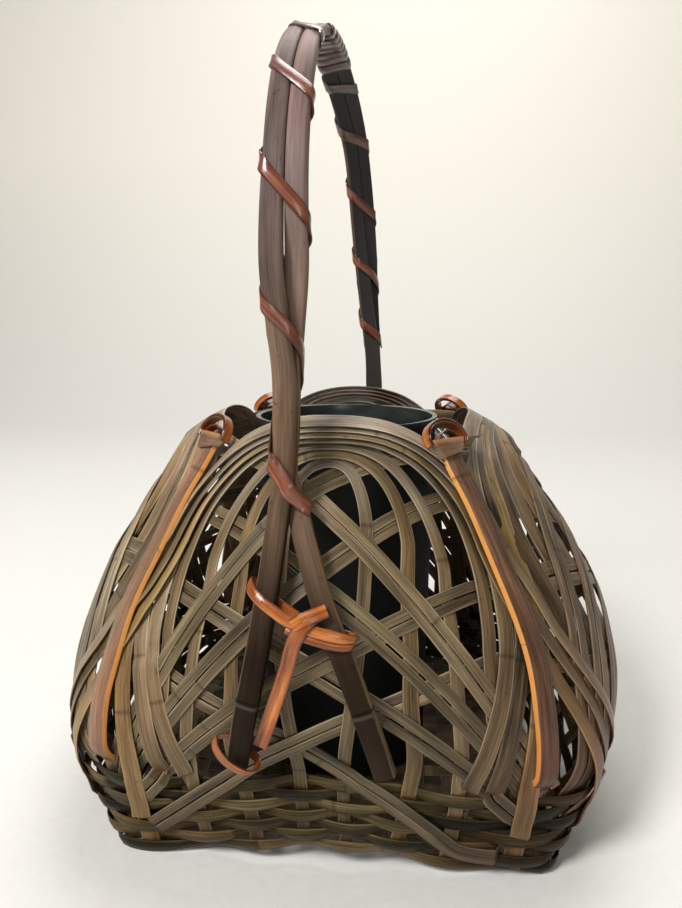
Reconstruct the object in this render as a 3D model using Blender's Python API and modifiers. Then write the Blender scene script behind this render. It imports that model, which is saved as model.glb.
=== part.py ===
"""Ikebana basket: an open bamboo body on a square foot, a split bamboo handle and a lacquered water liner.

Metres, +Z up, front towards -Y. The origin is on the floor under the middle of the body.
Nearly every piece is a flat strip laid on one wall, which is square at the foot and round at the mouth.
A place on the wall is an angle from the middle of the front, a height, and an offset outwards from it.
"""

import math

import bmesh
import bpy
from mathutils import Vector

# Body
MOUTH_HEIGHT = 0.225
BELLY_HALF_WIDTH = 0.160
BELLY_HALF_DEPTH = 0.140
FOOT_RISE = 0.009

# Squareness of the body: half width of its square plan, as a share of the mean of its half width and half depth
CORNER_SQUARE_SHARE = 0.775

# Strips and the layers they lie in
STRIP_THICKNESS = 0.0010
GAP = 0.0003

# Weaving rows at the foot
ROW_COUNT = 7
ROW_PITCH = 0.0069
ROW_WIDTH = 0.0054
ROW_CLEAR_OF_FLOOR = 0.0017
ROW_SWING = 0.0029
STAKE_COUNT = 32

# Arched stakes of each side
ARCH_WIDTH = 0.0070
ARCH_TOP_BELOW_MOUTH = 0.002
ARCH_TOP_PITCH = 0.006

# Diagonal strips, two side by side
DIAGONAL_WIDTH = 0.0108
DIAGONAL_INNER = 0.0030
DIAGONAL_OUTER = 0.0050

# Corner splats and the rattan that ties their heads
SPLAT_WIDTH = 0.0140
SPLAT_THICKNESS = 0.0024
SPLAT_CROWN = 0.0006
SPLAT_FOOT_ABOVE_ROWS = 0.0095
SPLAT_HEAD_BELOW_MOUTH = 0.0112
SPLAT_TURN = 3.0
HEAD_WRAP_WIDTH = 0.0085
HEAD_WRAP_BELOW_HEAD = 0.0038
HEAD_WRAP_OVERHANG = 0.0042
HEAD_WRAP_FOOT_OVERHANG = 0.0018
HEAD_WRAP_FLAT_SHARE = 0.84
LOOP_WIDTH = 0.0050
LOOP_RISE = 0.0115

# Base
MAT_THICKNESS = 0.0014
CROSS_WIDTH = 0.0140
CROSS_THICKNESS = 0.0026
CROSS_END_MARGIN = 0.0075

# Handle, two halves of split bamboo
HANDLE_TOP_ABOVE_MOUTH = 0.2095
HANDLE_SPRING_ABOVE_MOUTH = 0.075
HANDLE_CLEAR_OF_WALL = 0.0082
HANDLE_FLARE = 0.011
HANDLE_ARCH_BELOW_MOUTH = 0.020
HANDLE_LEAN = 0.019
HALF_WIDTH_ACROSS = 0.0104
HALF_THICKNESS = 0.0042
HALF_CROWN = 0.0012
HALVES_APART = 0.0013
LEG_FOOT_ABOVE_ROWS = 0.0285

# Rattan on the handle: one winding over the arch, and a tie and a strap where the legs cross
RATTAN_WIDTH = 0.0055
RATTAN_THICKNESS = 0.0011
WINDING_CLEARANCE = 0.0016
TIE_WIDTH = 0.0110
STRAP_WIDTH = 0.0080
STRAP_THICKNESS = 0.0016

# Water liner
LINER_RADIUS = 0.0550
LINER_WALL = 0.0026
LINER_FLOOR = 0.0040
LINER_BELOW_MOUTH = 0.0045
LINER_LIP = 0.0012
LINER_TAPER = 0.0040

# Wall tables: shares of the mouth's height, and of the sizes that each one names
HEIGHT_SHARES = (0.0, 0.09, 0.18, 0.27, 0.36, 0.47, 0.58, 0.69, 0.80, 0.91, 1.0)
HALF_WIDTH_SHARES = (0.713, 0.790, 0.867, 0.944, 1.0, 0.988, 0.925, 0.838, 0.731, 0.613, 0.519)
HALF_DEPTH_SHARES = (0.800, 0.832, 0.865, 0.900, 0.957, 1.0, 0.986, 0.921, 0.814, 0.693, 0.586)
CORNER_SHARES = (0.948, 0.966, 0.983, 1.0, 0.974, 0.914, 0.845, 0.750, 0.655, 0.552, 0.487)

# Arches, from the inner one to the outer one
# Angle of the leg where the curve starts, that height as a share of the mouth's, and the angle at the foot
ARCHES = (
    {"spread_angle": 10.0, "shoulder_share": 0.800, "foot_angle": 5.625},
    {"spread_angle": 20.0, "shoulder_share": 0.764, "foot_angle": 16.875},
    {"spread_angle": 28.5, "shoulder_share": 0.711, "foot_angle": 28.125},
    {"spread_angle": 40.0, "shoulder_share": 0.733, "foot_angle": 50.625},
)
ARCH_POWER = 2.4
CROSSING_SHARES = (0.35, 0.60)
ARCH_STEPS = 26
ARCH_CURVE_SHARE = 8 / 13
ARCH_ROWS_SHARE = 11 / 13

# Diagonals, from the lowest one up, on the way up to their corner and on the way down from it:
# heights at the corner and at the far ends as shares of the mouth's, and how square the curve is
DIAGONALS = (
    {
        "up_shares": (0.524, 0.013),
        "up_power": 2.0,
        "down_shares": (0.484, -0.090),
        "down_power": 1.85,
        "reach_angle": 83.0,
    },
    {
        "up_shares": (0.664, 0.069),
        "up_power": 2.5,
        "down_shares": (0.644, 0.084),
        "down_power": 2.34,
        "reach_angle": 83.0,
    },
    {
        "up_shares": (0.840, 0.120),
        "up_power": 2.7,
        "down_shares": (0.800, 0.120),
        "down_power": 2.62,
        "reach_angle": 83.0,
    },
    {
        "up_shares": (0.942, 0.124),
        "up_power": 4.15,
        "down_shares": (0.929, 0.249),
        "down_power": 2.95,
        "reach_angle": 71.0,
    },
)
DIAGONAL_LOWEST_SHARE = 0.085
CORNER_BLEND_ANGLE = 12.0
DIAGONAL_STEPS = 32

# Angles from its corner between which a rising pair goes from the outer layer to the inner one
DIAGONAL_SWAP_FAR = 14.0
DIAGONAL_SWAP_NEAR = 7.5

# Handle legs on the wall: angles, and heights as shares of the way from the leg's foot to the arch's
OUTER_LEG_ANGLES = (-15.9, -12.8, -10.3, -9.3, -9.2, -9.6)
INNER_LEG_ANGLES = (12.8, 9.2, 4.8, 0.5, -2.4, -5.2)
LEG_HEIGHT_SHARES = (0.0, 0.19, 0.40, 0.58, 0.72, 0.83)
OUTER_LEG_PROUD_SHARES = (0.0, 0.0, 0.0, 0.0, 0.5, 1.0)
HANDLE_ARCH_POINTS = 25
HALF_STEPS = 60

# How the halves come together, in shares of the arch from its foot: side by side, and one before the other
SPREAD_FROM_SHARE = 0.07
SPREAD_TO_SHARE = 0.21
STACK_FROM_SHARE = 0.20
STACK_TO_SHARE = 0.29

# Winding: turns made by each share of the arch, close together over the crown
WINDING_PLACE_SHARES = (0.02, 0.12, 0.25, 0.38, 0.47, 0.4985, 0.5345, 0.5705, 0.602, 0.69, 0.79, 0.89, 0.96)
WINDING_TURNS = (0.0, 1.0, 2.3, 3.6, 4.55, 5.55, 8.05, 10.55, 11.55, 12.60, 13.75, 14.9, 15.7)
WINDING_START_TURN = 0.25
WINDING_STEPS = 256
WINDING_POWER = 4.0

# Tie where the legs cross: angles, heights as the legs' are given, and 0 behind the legs to 1 before them
TIE_ANGLES = (-3.0, -7.5, -11.4, -13.4, -11.3, -7.5, -3.0, 1.0, 6.1, 8.3, 6.3, 1.0)
TIE_HEIGHT_SHARES = (0.517, 0.552, 0.580, 0.594, 0.581, 0.547, 0.513, 0.485, 0.463, 0.458, 0.463, 0.487)
TIE_OUT_SHARES = (0.0, 0.0, 0.05, 0.6, 1.25, 1.2, 1.1, 1.0, 1.0, 0.5, 0.0, 0.0)
TIE_STEPS = 24
STRAP_ANGLES = (-1.2, -2.6, -4.7, -7.4, -11.0)
STRAP_HEIGHT_SHARES = (0.543, 0.465, 0.379, 0.238, 0.082)
STRAP_OUT_SHARES = (1.0, 0.9, 0.0, 0.0, 0.0)
STRAP_STEPS = 12

# Share of the base mat's half width that lies flat
MAT_FLAT_SHARE = 0.5

# Sideways lean of the handle along its arch, from front foot to back foot, in shares of the lean
LEAN_SHARES = (-0.95, -0.95, -1.0, -1.0, -0.95, -0.85, -0.55, -0.2, 0.2, 0.37, 0.5, 0.6, 0.65)

COLLECTION_NAME = "Ikebana basket"
SIDE_NAMES = ("front", "right", "back", "left")
CORNER_NAMES = ("front_right", "back_right", "back_left", "front_left")
QUARTER = math.pi / 2
HALF_TURN = math.pi
TURN = 2 * math.pi
SOLVER_STEPS = 40
STEEPEST_CORNER = 60.0
TURN_STEPS_APART = 8
DEGREES_PER_SIDE = 90.0
SPLAT_STEPS = 12
HEAD_WRAP_STEPS = 16
LOOP_STEPS = 14
MAT_STEPS = 9
LINER_STEPS = 40
MERGE_DISTANCE = 0.00001
CORNER_HALF = CORNER_SQUARE_SHARE * math.sqrt(BELLY_HALF_WIDTH * BELLY_HALF_DEPTH)
ROWS_TOP_HEIGHT = ROW_CLEAR_OF_FLOOR + (ROW_COUNT - 1) * ROW_PITCH + ROW_WIDTH
ARCH_TOP_HEIGHT = MOUTH_HEIGHT - ARCH_TOP_BELOW_MOUTH
SPLAT_FOOT_HEIGHT = ROWS_TOP_HEIGHT + SPLAT_FOOT_ABOVE_ROWS
SPLAT_HEAD_HEIGHT = MOUTH_HEIGHT - SPLAT_HEAD_BELOW_MOUTH
HEAD_WRAP_HEIGHT = SPLAT_HEAD_HEIGHT - HEAD_WRAP_BELOW_HEAD
HANDLE_TOP = MOUTH_HEIGHT + HANDLE_TOP_ABOVE_MOUTH
HANDLE_SPRING = MOUTH_HEIGHT + HANDLE_SPRING_ABOVE_MOUTH
HANDLE_FOOT_OF_ARCH = MOUTH_HEIGHT - HANDLE_ARCH_BELOW_MOUTH
LEG_FOOT_HEIGHT = ROWS_TOP_HEIGHT + LEG_FOOT_ABOVE_ROWS
LINER_TOP = MOUTH_HEIGHT - LINER_BELOW_MOUTH
LAYER = STRIP_THICKNESS + GAP
SPLAT_OFFSET = DIAGONAL_INNER + STRIP_THICKNESS / 2 + 2 * GAP + SPLAT_THICKNESS / 2
HEAD_WRAP_OFFSET = SPLAT_OFFSET + SPLAT_THICKNESS / 2 + SPLAT_CROWN + 3 * GAP + RATTAN_THICKNESS / 2
LEG_OFFSET = DIAGONAL_OUTER + STRIP_THICKNESS / 2 + 5 * GAP + RATTAN_THICKNESS + HALF_THICKNESS / 2
TIE_BEHIND = LEG_OFFSET - HALF_THICKNESS / 2 - 3 * GAP - RATTAN_THICKNESS / 2
TIE_BEFORE = LEG_OFFSET + HALF_THICKNESS / 2 + HALF_CROWN + 2 * GAP + RATTAN_THICKNESS / 2
STRAP_OFFSET = DIAGONAL_OUTER + STRIP_THICKNESS / 2 + 2 * GAP + STRAP_THICKNESS / 2
HALF_SHIFT = (HALF_WIDTH_ACROSS + HALVES_APART) / 2
HALF_STEP = HALF_THICKNESS + HALF_CROWN + HALVES_APART
SLOPE_STEP = MOUTH_HEIGHT / 400
ANGLE_STEP = math.radians(0.2)
ROUTE_STEP = 0.004
SHARP_ANGLE = math.radians(40)


def clear_scene():
    """Empties the file that the part is built in."""
    for obj in list(bpy.data.objects):
        bpy.data.objects.remove(obj, do_unlink=True)


def new_collection(name):
    """A collection in the scene."""
    collection = bpy.data.collections.new(name)
    bpy.context.scene.collection.children.link(collection)
    return collection


def new_material(name, colour, roughness):
    """A plain finish in the piece's colour."""
    material = bpy.data.materials.new(name)
    material.use_nodes = True
    shader = material.node_tree.nodes["Principled BSDF"]
    shader.inputs["Base Color"].default_value = (*colour, 1.0)
    shader.inputs["Roughness"].default_value = roughness
    shader.inputs["Metallic"].default_value = 0.0
    material.diffuse_color = (*colour, 1.0)
    return material


def smooth_value(places, values, place):
    """Reads a smooth curve through a table: level before its start, straight on beyond its end."""
    if place <= places[0]:
        return values[0]
    if place >= places[-1]:
        slope = (values[-1] - values[-2]) / (places[-1] - places[-2])
        return values[-1] + slope * (place - places[-1])
    i = max(k for k in range(len(places) - 1) if places[k] <= place)
    span = places[i + 1] - places[i]
    before = max(i - 1, 0)
    after = min(i + 2, len(places) - 1)
    slope_in = (values[i + 1] - values[before]) / (places[i + 1] - places[before])
    slope_out = (values[after] - values[i]) / (places[after] - places[i])
    t = (place - places[i]) / span
    return (
        values[i] * (2 * t**3 - 3 * t**2 + 1)
        + span * slope_in * (t**3 - 2 * t**2 + t)
        + values[i + 1] * (3 * t**2 - 2 * t**3)
        + span * slope_out * (t**3 - t**2)
    )


def smooth_step(low, high, value):
    """Rises smoothly from 0 at low to 1 at high."""
    t = min(max((value - low) / (high - low), 0.0), 1.0)
    return t * t * (3 - 2 * t)


def between(low, high, share):
    """The value at a share of the way from low to high."""
    return low + (high - low) * share


def half_depth(height):
    """Half depth of the wall's plan at a height."""
    return BELLY_HALF_DEPTH * smooth_value(HEIGHT_SHARES, HALF_DEPTH_SHARES, height / MOUTH_HEIGHT)


def section(height):
    """Half width, half depth and squareness of the wall's plan at a height."""
    share = height / MOUTH_HEIGHT
    width = BELLY_HALF_WIDTH * smooth_value(HEIGHT_SHARES, HALF_WIDTH_SHARES, share)
    depth = half_depth(height)
    corner = CORNER_HALF * smooth_value(HEIGHT_SHARES, CORNER_SHARES, share)
    low, high = 1.0, STEEPEST_CORNER
    for _ in range(SOLVER_STEPS):
        power = (low + high) / 2
        if (corner / width) ** power + (corner / depth) ** power > 1:
            low = power
        else:
            high = power
    return width, depth, power


def bare_wall(angle, height):
    """A point of the wall itself."""
    width, depth, power = section(height)
    across, along = math.sin(angle), -math.cos(angle)
    reach = ((abs(across) / width) ** power + (abs(along) / depth) ** power) ** (-1 / power)
    return Vector((reach * across, reach * along, height))


def wall_normal(angle, height):
    """Unit direction out of the wall."""
    around = bare_wall(angle + ANGLE_STEP, height) - bare_wall(angle - ANGLE_STEP, height)
    upward = bare_wall(angle, height + SLOPE_STEP) - bare_wall(angle, height - SLOPE_STEP)
    return around.cross(upward).normalized()


def wall_point(angle, height, offset):
    """A point at an offset outwards from the wall."""
    return bare_wall(angle, height) + wall_normal(angle, height) * offset


def foot_lift(angle):
    """How far the foot's edge stands off the floor: nothing at the corners, most at mid side."""
    return FOOT_RISE * math.cos(2 * angle) ** 2


def on_wall(route, position, sideways):
    """A place beside a route on the wall, at a distance measured along the wall."""
    angle, height, offset = route(position)
    before = bare_wall(*route(max(position - ROUTE_STEP, 0.0))[:2])
    after = bare_wall(*route(min(position + ROUTE_STEP, 1.0))[:2])
    side = wall_normal(angle, height).cross(after - before).normalized()
    beside = bare_wall(angle, height) + side * sideways
    return wall_point(math.atan2(beside.x, -beside.y), beside.z, offset)


def keep(mesh_data, name, collection, material, smooth=True):
    """Wraps a mesh as a named piece of the basket."""
    obj = bpy.data.objects.new(name, mesh_data)
    collection.objects.link(obj)
    mesh_data.materials.append(material)
    if smooth:
        mesh_data.shade_smooth()
        mesh_data.set_sharp_from_angle(angle=SHARP_ANGLE)
    return obj


def thicken(obj, thickness):
    """Gives an open strip its thickness, half to each side."""
    solid = obj.modifiers.new("Thickness", "SOLIDIFY")
    solid.thickness = thickness
    solid.offset = 0.0
    solid.use_even_offset = True
    return obj


def strip(name, place, steps, across, width, thickness, collection, material):
    """A flat strip: place(position, sideways) puts each point of a grid, then the grid is thickened."""
    mesh = bmesh.new()
    bmesh.ops.create_grid(mesh, x_segments=steps, y_segments=across, size=1.0)
    for vertex in mesh.verts:
        vertex.co = place((vertex.co.x + 1) / 2, vertex.co.y * width / 2)
    data = bpy.data.meshes.new(name)
    mesh.to_mesh(data)
    mesh.free()
    return thicken(keep(data, name, collection, material), thickness)


def hoop(name, place, steps, width, thickness, collection, material):
    """A closed strip: place(angle, sideways) puts each point of an open tube, which is then thickened."""
    mesh = bmesh.new()
    bmesh.ops.create_cone(mesh, cap_ends=False, segments=steps, radius1=1.0, radius2=1.0, depth=2.0)
    for vertex in mesh.verts:
        angle = math.atan2(vertex.co.x, -vertex.co.y)
        vertex.co = place(angle, vertex.co.z * width / 2)
    data = bpy.data.meshes.new(name)
    mesh.to_mesh(data)
    mesh.free()
    return thicken(keep(data, name, collection, material), thickness)


def make_rows(collection, material):
    """The weaving rows: each passes in front of one stake and behind the next."""
    lowest = ROW_CLEAR_OF_FLOOR + ROW_WIDTH / 2
    for row in range(ROW_COUNT):
        level = lowest + row * ROW_PITCH

        def place(angle, sideways, level=level, row=row):
            stake = angle / TURN * STAKE_COUNT - 0.5
            swing = ROW_SWING * math.cos(HALF_TURN * (stake + row))
            return wall_point(angle, level + foot_lift(angle) + sideways, swing)

        name = f"weaving_row_{row + 1}"
        hoop(name, place, 2 * STAKE_COUNT, ROW_WIDTH, STRIP_THICKNESS, collection, material)


def arch_route(arch, order, side_angle, lifted):
    """Route of one arched stake over one side, from its left foot to its right foot."""
    shoulder = arch["shoulder_share"] * MOUTH_HEIGHT
    top = ARCH_TOP_HEIGHT - (len(ARCHES) - 1 - order) * ARCH_TOP_PITCH
    spread, foot = math.radians(arch["spread_angle"]), math.radians(arch["foot_angle"])
    lowest = ROW_CLEAR_OF_FLOOR + foot_lift(foot)
    rows_top = lowest + ROW_COUNT * ROW_PITCH
    crossing_low, crossing_high = (share * MOUTH_HEIGHT for share in CROSSING_SHARES)

    def route(position):
        half = abs(2 * position - 1)
        hand = 1 if position > 0.5 else -1
        if half < ARCH_CURVE_SHARE:
            turn = half / ARCH_CURVE_SHARE * QUARTER
            angle = spread * math.sin(turn) ** (2 / ARCH_POWER)
            height = between(shoulder, top, max(math.cos(turn), 0.0) ** (2 / ARCH_POWER))
        else:
            if half < ARCH_ROWS_SHARE:
                down = (half - ARCH_CURVE_SHARE) / (ARCH_ROWS_SHARE - ARCH_CURVE_SHARE)
                height = between(shoulder, rows_top, down)
            else:
                down = (half - ARCH_ROWS_SHARE) / (1 - ARCH_ROWS_SHARE)
                height = between(rows_top, lowest, down)
            angle = between(foot, spread, smooth_step(crossing_low, crossing_high, height))
        raised = LAYER * smooth_step(rows_top, crossing_low, height) if lifted else 0.0
        return side_angle + hand * angle, height, raised

    return route


def make_arches(collection, material):
    """Four arched stakes on each side; the outer one of each side crosses its neighbour's at the corners."""
    for side, side_name in enumerate(SIDE_NAMES):
        for order, arch in enumerate(ARCHES):
            route = arch_route(arch, order, side * QUARTER, lifted=side % 2 == 0)

            def place(position, sideways, route=route):
                return on_wall(route, position, sideways)

            name = f"{side_name}_arch_{order + 1}"
            strip(name, place, ARCH_STEPS, 1, ARCH_WIDTH, STRIP_THICKNESS, collection, material)


def diagonal_height(diagonal, degrees):
    """Height of a diagonal's middle at an angle from its corner."""
    shares = []
    for way in ("up", "down"):
        corner_share, end_share = diagonal[f"{way}_shares"]
        bend = abs(degrees / DEGREES_PER_SIDE) ** diagonal[f"{way}_power"]
        shares.append(between(corner_share, end_share, bend))
    share = between(*shares, smooth_step(-CORNER_BLEND_ANGLE, CORNER_BLEND_ANGLE, degrees))
    return MOUTH_HEIGHT * max(share, DIAGONAL_LOWEST_SHARE)


def diagonal_route(diagonal, corner_angle):
    """Route of a diagonal pair: up from one corner, over the next corner and down to the third.

    It lies outside the pairs that it crosses on its way up, inside them on its way down, and outside the rows.
    """
    rows_top = FOOT_RISE + ROW_COUNT * ROW_PITCH

    def route(position):
        degrees = (2 * position - 1) * diagonal["reach_angle"]
        height = diagonal_height(diagonal, degrees)
        rising = 1 - smooth_step(-DIAGONAL_SWAP_FAR, -DIAGONAL_SWAP_NEAR, degrees)
        over_rows = 1 - smooth_step(rows_top, rows_top + DIAGONAL_WIDTH, height)
        offset = between(DIAGONAL_INNER, DIAGONAL_OUTER, max(rising, over_rows))
        return corner_angle + math.radians(degrees), height, offset

    return route


def make_diagonals(collection, material):
    """Four diagonal pairs over each corner, outside where they start and inside where they turn over."""
    for corner, corner_name in enumerate(CORNER_NAMES):
        for order, diagonal in enumerate(DIAGONALS):
            route = diagonal_route(diagonal, corner * QUARTER + QUARTER / 2)

            def place(position, sideways, route=route):
                return on_wall(route, position, sideways)

            name = f"{corner_name}_diagonal_{order + 1}"
            strip(name, place, DIAGONAL_STEPS, 1, DIAGONAL_WIDTH, STRIP_THICKNESS, collection, material)


def make_splat(name, angle, collection, material):
    """A wide bamboo splat down one corner, slightly rounded across."""

    def route(position):
        return angle, between(SPLAT_FOOT_HEIGHT, SPLAT_HEAD_HEIGHT, position), SPLAT_OFFSET

    def place(position, sideways):
        edge = abs(sideways) / (SPLAT_WIDTH / 2)
        point = on_wall(route, position, sideways)
        outward = wall_normal(*route(position)[:2])
        return point + outward * SPLAT_CROWN * (1 - edge)

    strip(name, place, SPLAT_STEPS, 2, SPLAT_WIDTH, SPLAT_THICKNESS, collection, material)


def head_frame(angle):
    """Middle of a splat's head wrap on the wall, and the directions across, up and out of it."""
    outward = wall_normal(angle, HEAD_WRAP_HEIGHT)
    side = Vector((0.0, 0.0, 1.0)).cross(outward).normalized()
    return bare_wall(angle, HEAD_WRAP_HEIGHT), side, outward.cross(side), outward


def make_head_wrap(name, angle, collection, material):
    """The flat rattan wrap over a splat's head, wider at its top, its ends turned down beside the splat."""
    middle, side, upward, outward = head_frame(angle)
    head = SPLAT_WIDTH / 2 + HEAD_WRAP_OVERHANG
    foot = SPLAT_WIDTH / 2 + HEAD_WRAP_FOOT_OVERHANG

    def place(position, sideways):
        share = 2 * position - 1
        half = between(foot, head, sideways / HEAD_WRAP_WIDTH + 1 / 2)
        out = HEAD_WRAP_OFFSET - SPLAT_THICKNESS * smooth_step(HEAD_WRAP_FLAT_SHARE, 1.0, abs(share))
        return middle + side * half * share + outward * out + upward * sideways

    strip(name, place, HEAD_WRAP_STEPS, 1, HEAD_WRAP_WIDTH, RATTAN_THICKNESS, collection, material)


def make_head_loop(name, angle, collection, material):
    """The rattan loop that stands on a head wrap: a flat band bent over like a bridge."""
    middle, side, upward, outward = head_frame(angle)
    half = SPLAT_WIDTH / 2 + HEAD_WRAP_OVERHANG - RATTAN_THICKNESS / 2
    foot = HEAD_WRAP_WIDTH / 2 + GAP
    out = HEAD_WRAP_OFFSET + (RATTAN_THICKNESS - LOOP_WIDTH) / 2

    def place(position, sideways):
        turn = HALF_TURN * position
        across, rise = -half * math.cos(turn), foot + LOOP_RISE * math.sin(turn)
        return middle + side * across + upward * rise + outward * (out + sideways)

    strip(name, place, LOOP_STEPS, 1, LOOP_WIDTH, RATTAN_THICKNESS, collection, material)


def make_corners(collection, splat_material, rattan):
    """The splat, head wrap and head loop of each corner."""
    for corner, corner_name in enumerate(CORNER_NAMES):
        angle = corner * QUARTER + QUARTER / 2 - math.radians(SPLAT_TURN)
        make_splat(f"{corner_name}_splat", angle, collection, splat_material)
        make_head_wrap(f"{corner_name}_head_wrap", angle, collection, rattan)
        make_head_loop(f"{corner_name}_head_loop", angle, collection, rattan)


def make_base(collection, material):
    """The plaited mat of the base, raised at mid side with the foot's edge, on two crossed slats."""
    inset = ROW_SWING + STRIP_THICKNESS / 2 + MAT_THICKNESS / 2 + 3 * GAP
    level = CROSS_THICKNESS + GAP + MAT_THICKNESS / 2

    def place(position, sideways):
        across, along = 2 * position - 1, 2 * sideways
        outward = max(abs(across), abs(along))
        angle = math.atan2(across, -along)
        height = level + foot_lift(angle) * smooth_step(MAT_FLAT_SHARE, 1.0, outward)
        edge = wall_point(angle, height, -inset)
        return Vector((edge.x * outward, edge.y * outward, height))

    strip("base_mat", place, MAT_STEPS, MAT_STEPS, 1.0, MAT_THICKNESS, collection, material)

    tip = CORNER_HALF * CORNER_SHARES[0] - CROSS_END_MARGIN
    half = CROSS_WIDTH / 2 / math.sqrt(2)
    outline = []
    for turn in range(4):
        for x, y in ((2 * half, 0.0), (tip + half, tip - half), (tip - half, tip + half)):
            cosine, sine = round(math.cos(turn * QUARTER)), round(math.sin(turn * QUARTER))
            outline.append((x * cosine - y * sine, x * sine + y * cosine))
    curve = bpy.data.curves.new("base_cross", "CURVE")
    curve.dimensions = "2D"
    curve.fill_mode = "BOTH"
    curve.extrude = CROSS_THICKNESS / 2
    spline = curve.splines.new("POLY")
    spline.points.add(len(outline) - 1)
    for point, (x, y) in zip(spline.points, outline):
        point.co = (x, y, 0.0, 1.0)
    spline.use_cyclic_u = True
    obj = bpy.data.objects.new("base_cross", curve)
    obj.location = (0.0, 0.0, CROSS_THICKNESS / 2)
    collection.objects.link(obj)
    curve.materials.append(material)


def handle_centre(position):
    """Middle of the handle's arch, from above the front legs over the crown to above the back legs."""
    reach = half_depth(HANDLE_FOOT_OF_ARCH) + HANDLE_CLEAR_OF_WALL
    rise = HANDLE_SPRING - HANDLE_FOOT_OF_ARCH
    arc = HALF_TURN * (reach + HANDLE_TOP - HANDLE_SPRING) / 2
    length = 2 * rise + arc
    run = position * length
    lean_places = [i / (len(LEAN_SHARES) - 1) for i in range(len(LEAN_SHARES))]
    lean = HANDLE_LEAN * smooth_value(lean_places, LEAN_SHARES, position)
    from_foot = min(run, length - run)
    if from_foot < rise:
        flare = HANDLE_FLARE * (1 - from_foot / rise) ** 2
        hand = -1 if run < length / 2 else 1
        return Vector((lean, hand * (reach + flare), HANDLE_FOOT_OF_ARCH + from_foot))
    turn = (run - rise) / arc * HALF_TURN
    height = HANDLE_SPRING + (HANDLE_TOP - HANDLE_SPRING) * math.sin(turn)
    return Vector((lean, -reach * math.cos(turn), height))


def handle_run(position):
    """Direction along the handle's arch."""
    ahead = handle_centre(min(position + ROUTE_STEP, 1.0))
    return (ahead - handle_centre(max(position - ROUTE_STEP, 0.0))).normalized()


def handle_outward(position):
    """Direction out of the handle's arch, away from the space under it."""
    return Vector((1.0, 0.0, 0.0)).cross(handle_run(position)).normalized()


def handle_side(position):
    """Direction across the handle's arch, towards +X."""
    return handle_run(position).cross(handle_outward(position)).normalized()


def pair_place(position):
    """How far the halves lie apart sideways, and how far the one is before the other, along the arch."""
    end = min(position, 1 - position)
    front = 1 if position < 0.5 else -1
    shift = HALF_SHIFT * smooth_step(SPREAD_FROM_SHARE, SPREAD_TO_SHARE, end)
    stacked = front * HALF_STEP / 2 * (1 - smooth_step(STACK_FROM_SHARE, STACK_TO_SHARE, end))
    return shift, stacked


def half_arch_points(hand):
    """Points of one half's middle over the arch, with the direction out of the arch at each."""
    points = []
    for i in range(HANDLE_ARCH_POINTS):
        position = i / (HANDLE_ARCH_POINTS - 1)
        shift, stacked = pair_place(position)
        outward = handle_outward(position)
        sideways = handle_side(position) * hand * shift
        points.append((handle_centre(position) + sideways - outward * hand * stacked, outward))
    return points


def leg_angle(degrees, turned):
    """An angle on the front or, turned about, on the back."""
    return math.radians(degrees) + (HALF_TURN if turned else 0.0)


def leg_height(share):
    """A height on a leg, as a share of the way from the leg's foot to the arch's."""
    return between(LEG_FOOT_HEIGHT, HANDLE_FOOT_OF_ARCH, share)


def leg_points(angles, proud_shares, turned):
    """Points of one leg's middle from its foot up, on the front or, turned about, on the back."""
    points = []
    for degrees, share, proud in zip(angles, LEG_HEIGHT_SHARES, proud_shares):
        angle = leg_angle(degrees, turned)
        height = leg_height(share)
        offset = LEG_OFFSET + HALF_STEP * proud
        points.append((wall_point(angle, height, offset), wall_normal(angle, height)))
    return points


def smooth_path(points):
    """A smooth curve through points with their outward directions, read by a position from 0 to 1."""
    places = [0.0]
    for (one, _), (other, _) in zip(points, points[1:]):
        places.append(places[-1] + (other - one).length)
    columns = [[point[0][k] for point in points] for k in range(3)]
    outward_columns = [[point[1][k] for point in points] for k in range(3)]

    def read(position):
        place = position * places[-1]
        middle = Vector([smooth_value(places, column, place) for column in columns])
        outward = Vector([smooth_value(places, column, place) for column in outward_columns])
        return middle, outward

    return read


def beside_path(read, position, sideways, crown=0.0, half_width=1.0):
    """A place beside a path, across its run and its outward direction, raised at the middle by a crown."""
    middle, outward = read(position)
    run = read(min(position + ROUTE_STEP, 1.0))[0] - read(max(position - ROUTE_STEP, 0.0))[0]
    side = outward.cross(run).normalized()
    out = run.cross(side).normalized()
    return middle + side * sideways + out * crown * (1 - abs(sideways) / half_width)


def make_handle(collection, material):
    """The two halves of the handle, each from its front leg over the crown to its back leg."""
    still = (0.0,) * len(LEG_HEIGHT_SHARES)
    for name, hand in (("handle_half_left", -1), ("handle_half_right", 1)):
        outer_in_front = hand < 0
        if outer_in_front:
            front = leg_points(OUTER_LEG_ANGLES, OUTER_LEG_PROUD_SHARES, turned=False)
            back = leg_points(INNER_LEG_ANGLES, still, turned=True)
        else:
            front = leg_points(INNER_LEG_ANGLES, still, turned=False)
            back = leg_points(OUTER_LEG_ANGLES, OUTER_LEG_PROUD_SHARES, turned=True)
        read = smooth_path(front + half_arch_points(hand) + back[::-1])

        def place(position, sideways, read=read):
            half = HALF_WIDTH_ACROSS / 2
            return beside_path(read, position, -sideways, HALF_CROWN, half)

        strip(name, place, HALF_STEPS, 2, HALF_WIDTH_ACROSS, HALF_THICKNESS, collection, material)


def winding_size(position):
    """Half the width and half the height of the winding's turns round both halves."""
    shift, stacked = pair_place(position)
    clearance = WINDING_CLEARANCE + RATTAN_THICKNESS / 2
    across = shift + HALF_WIDTH_ACROSS / 2 + clearance
    outward = abs(stacked) + HALF_THICKNESS / 2 + HALF_CROWN + clearance
    return across, outward


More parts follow.
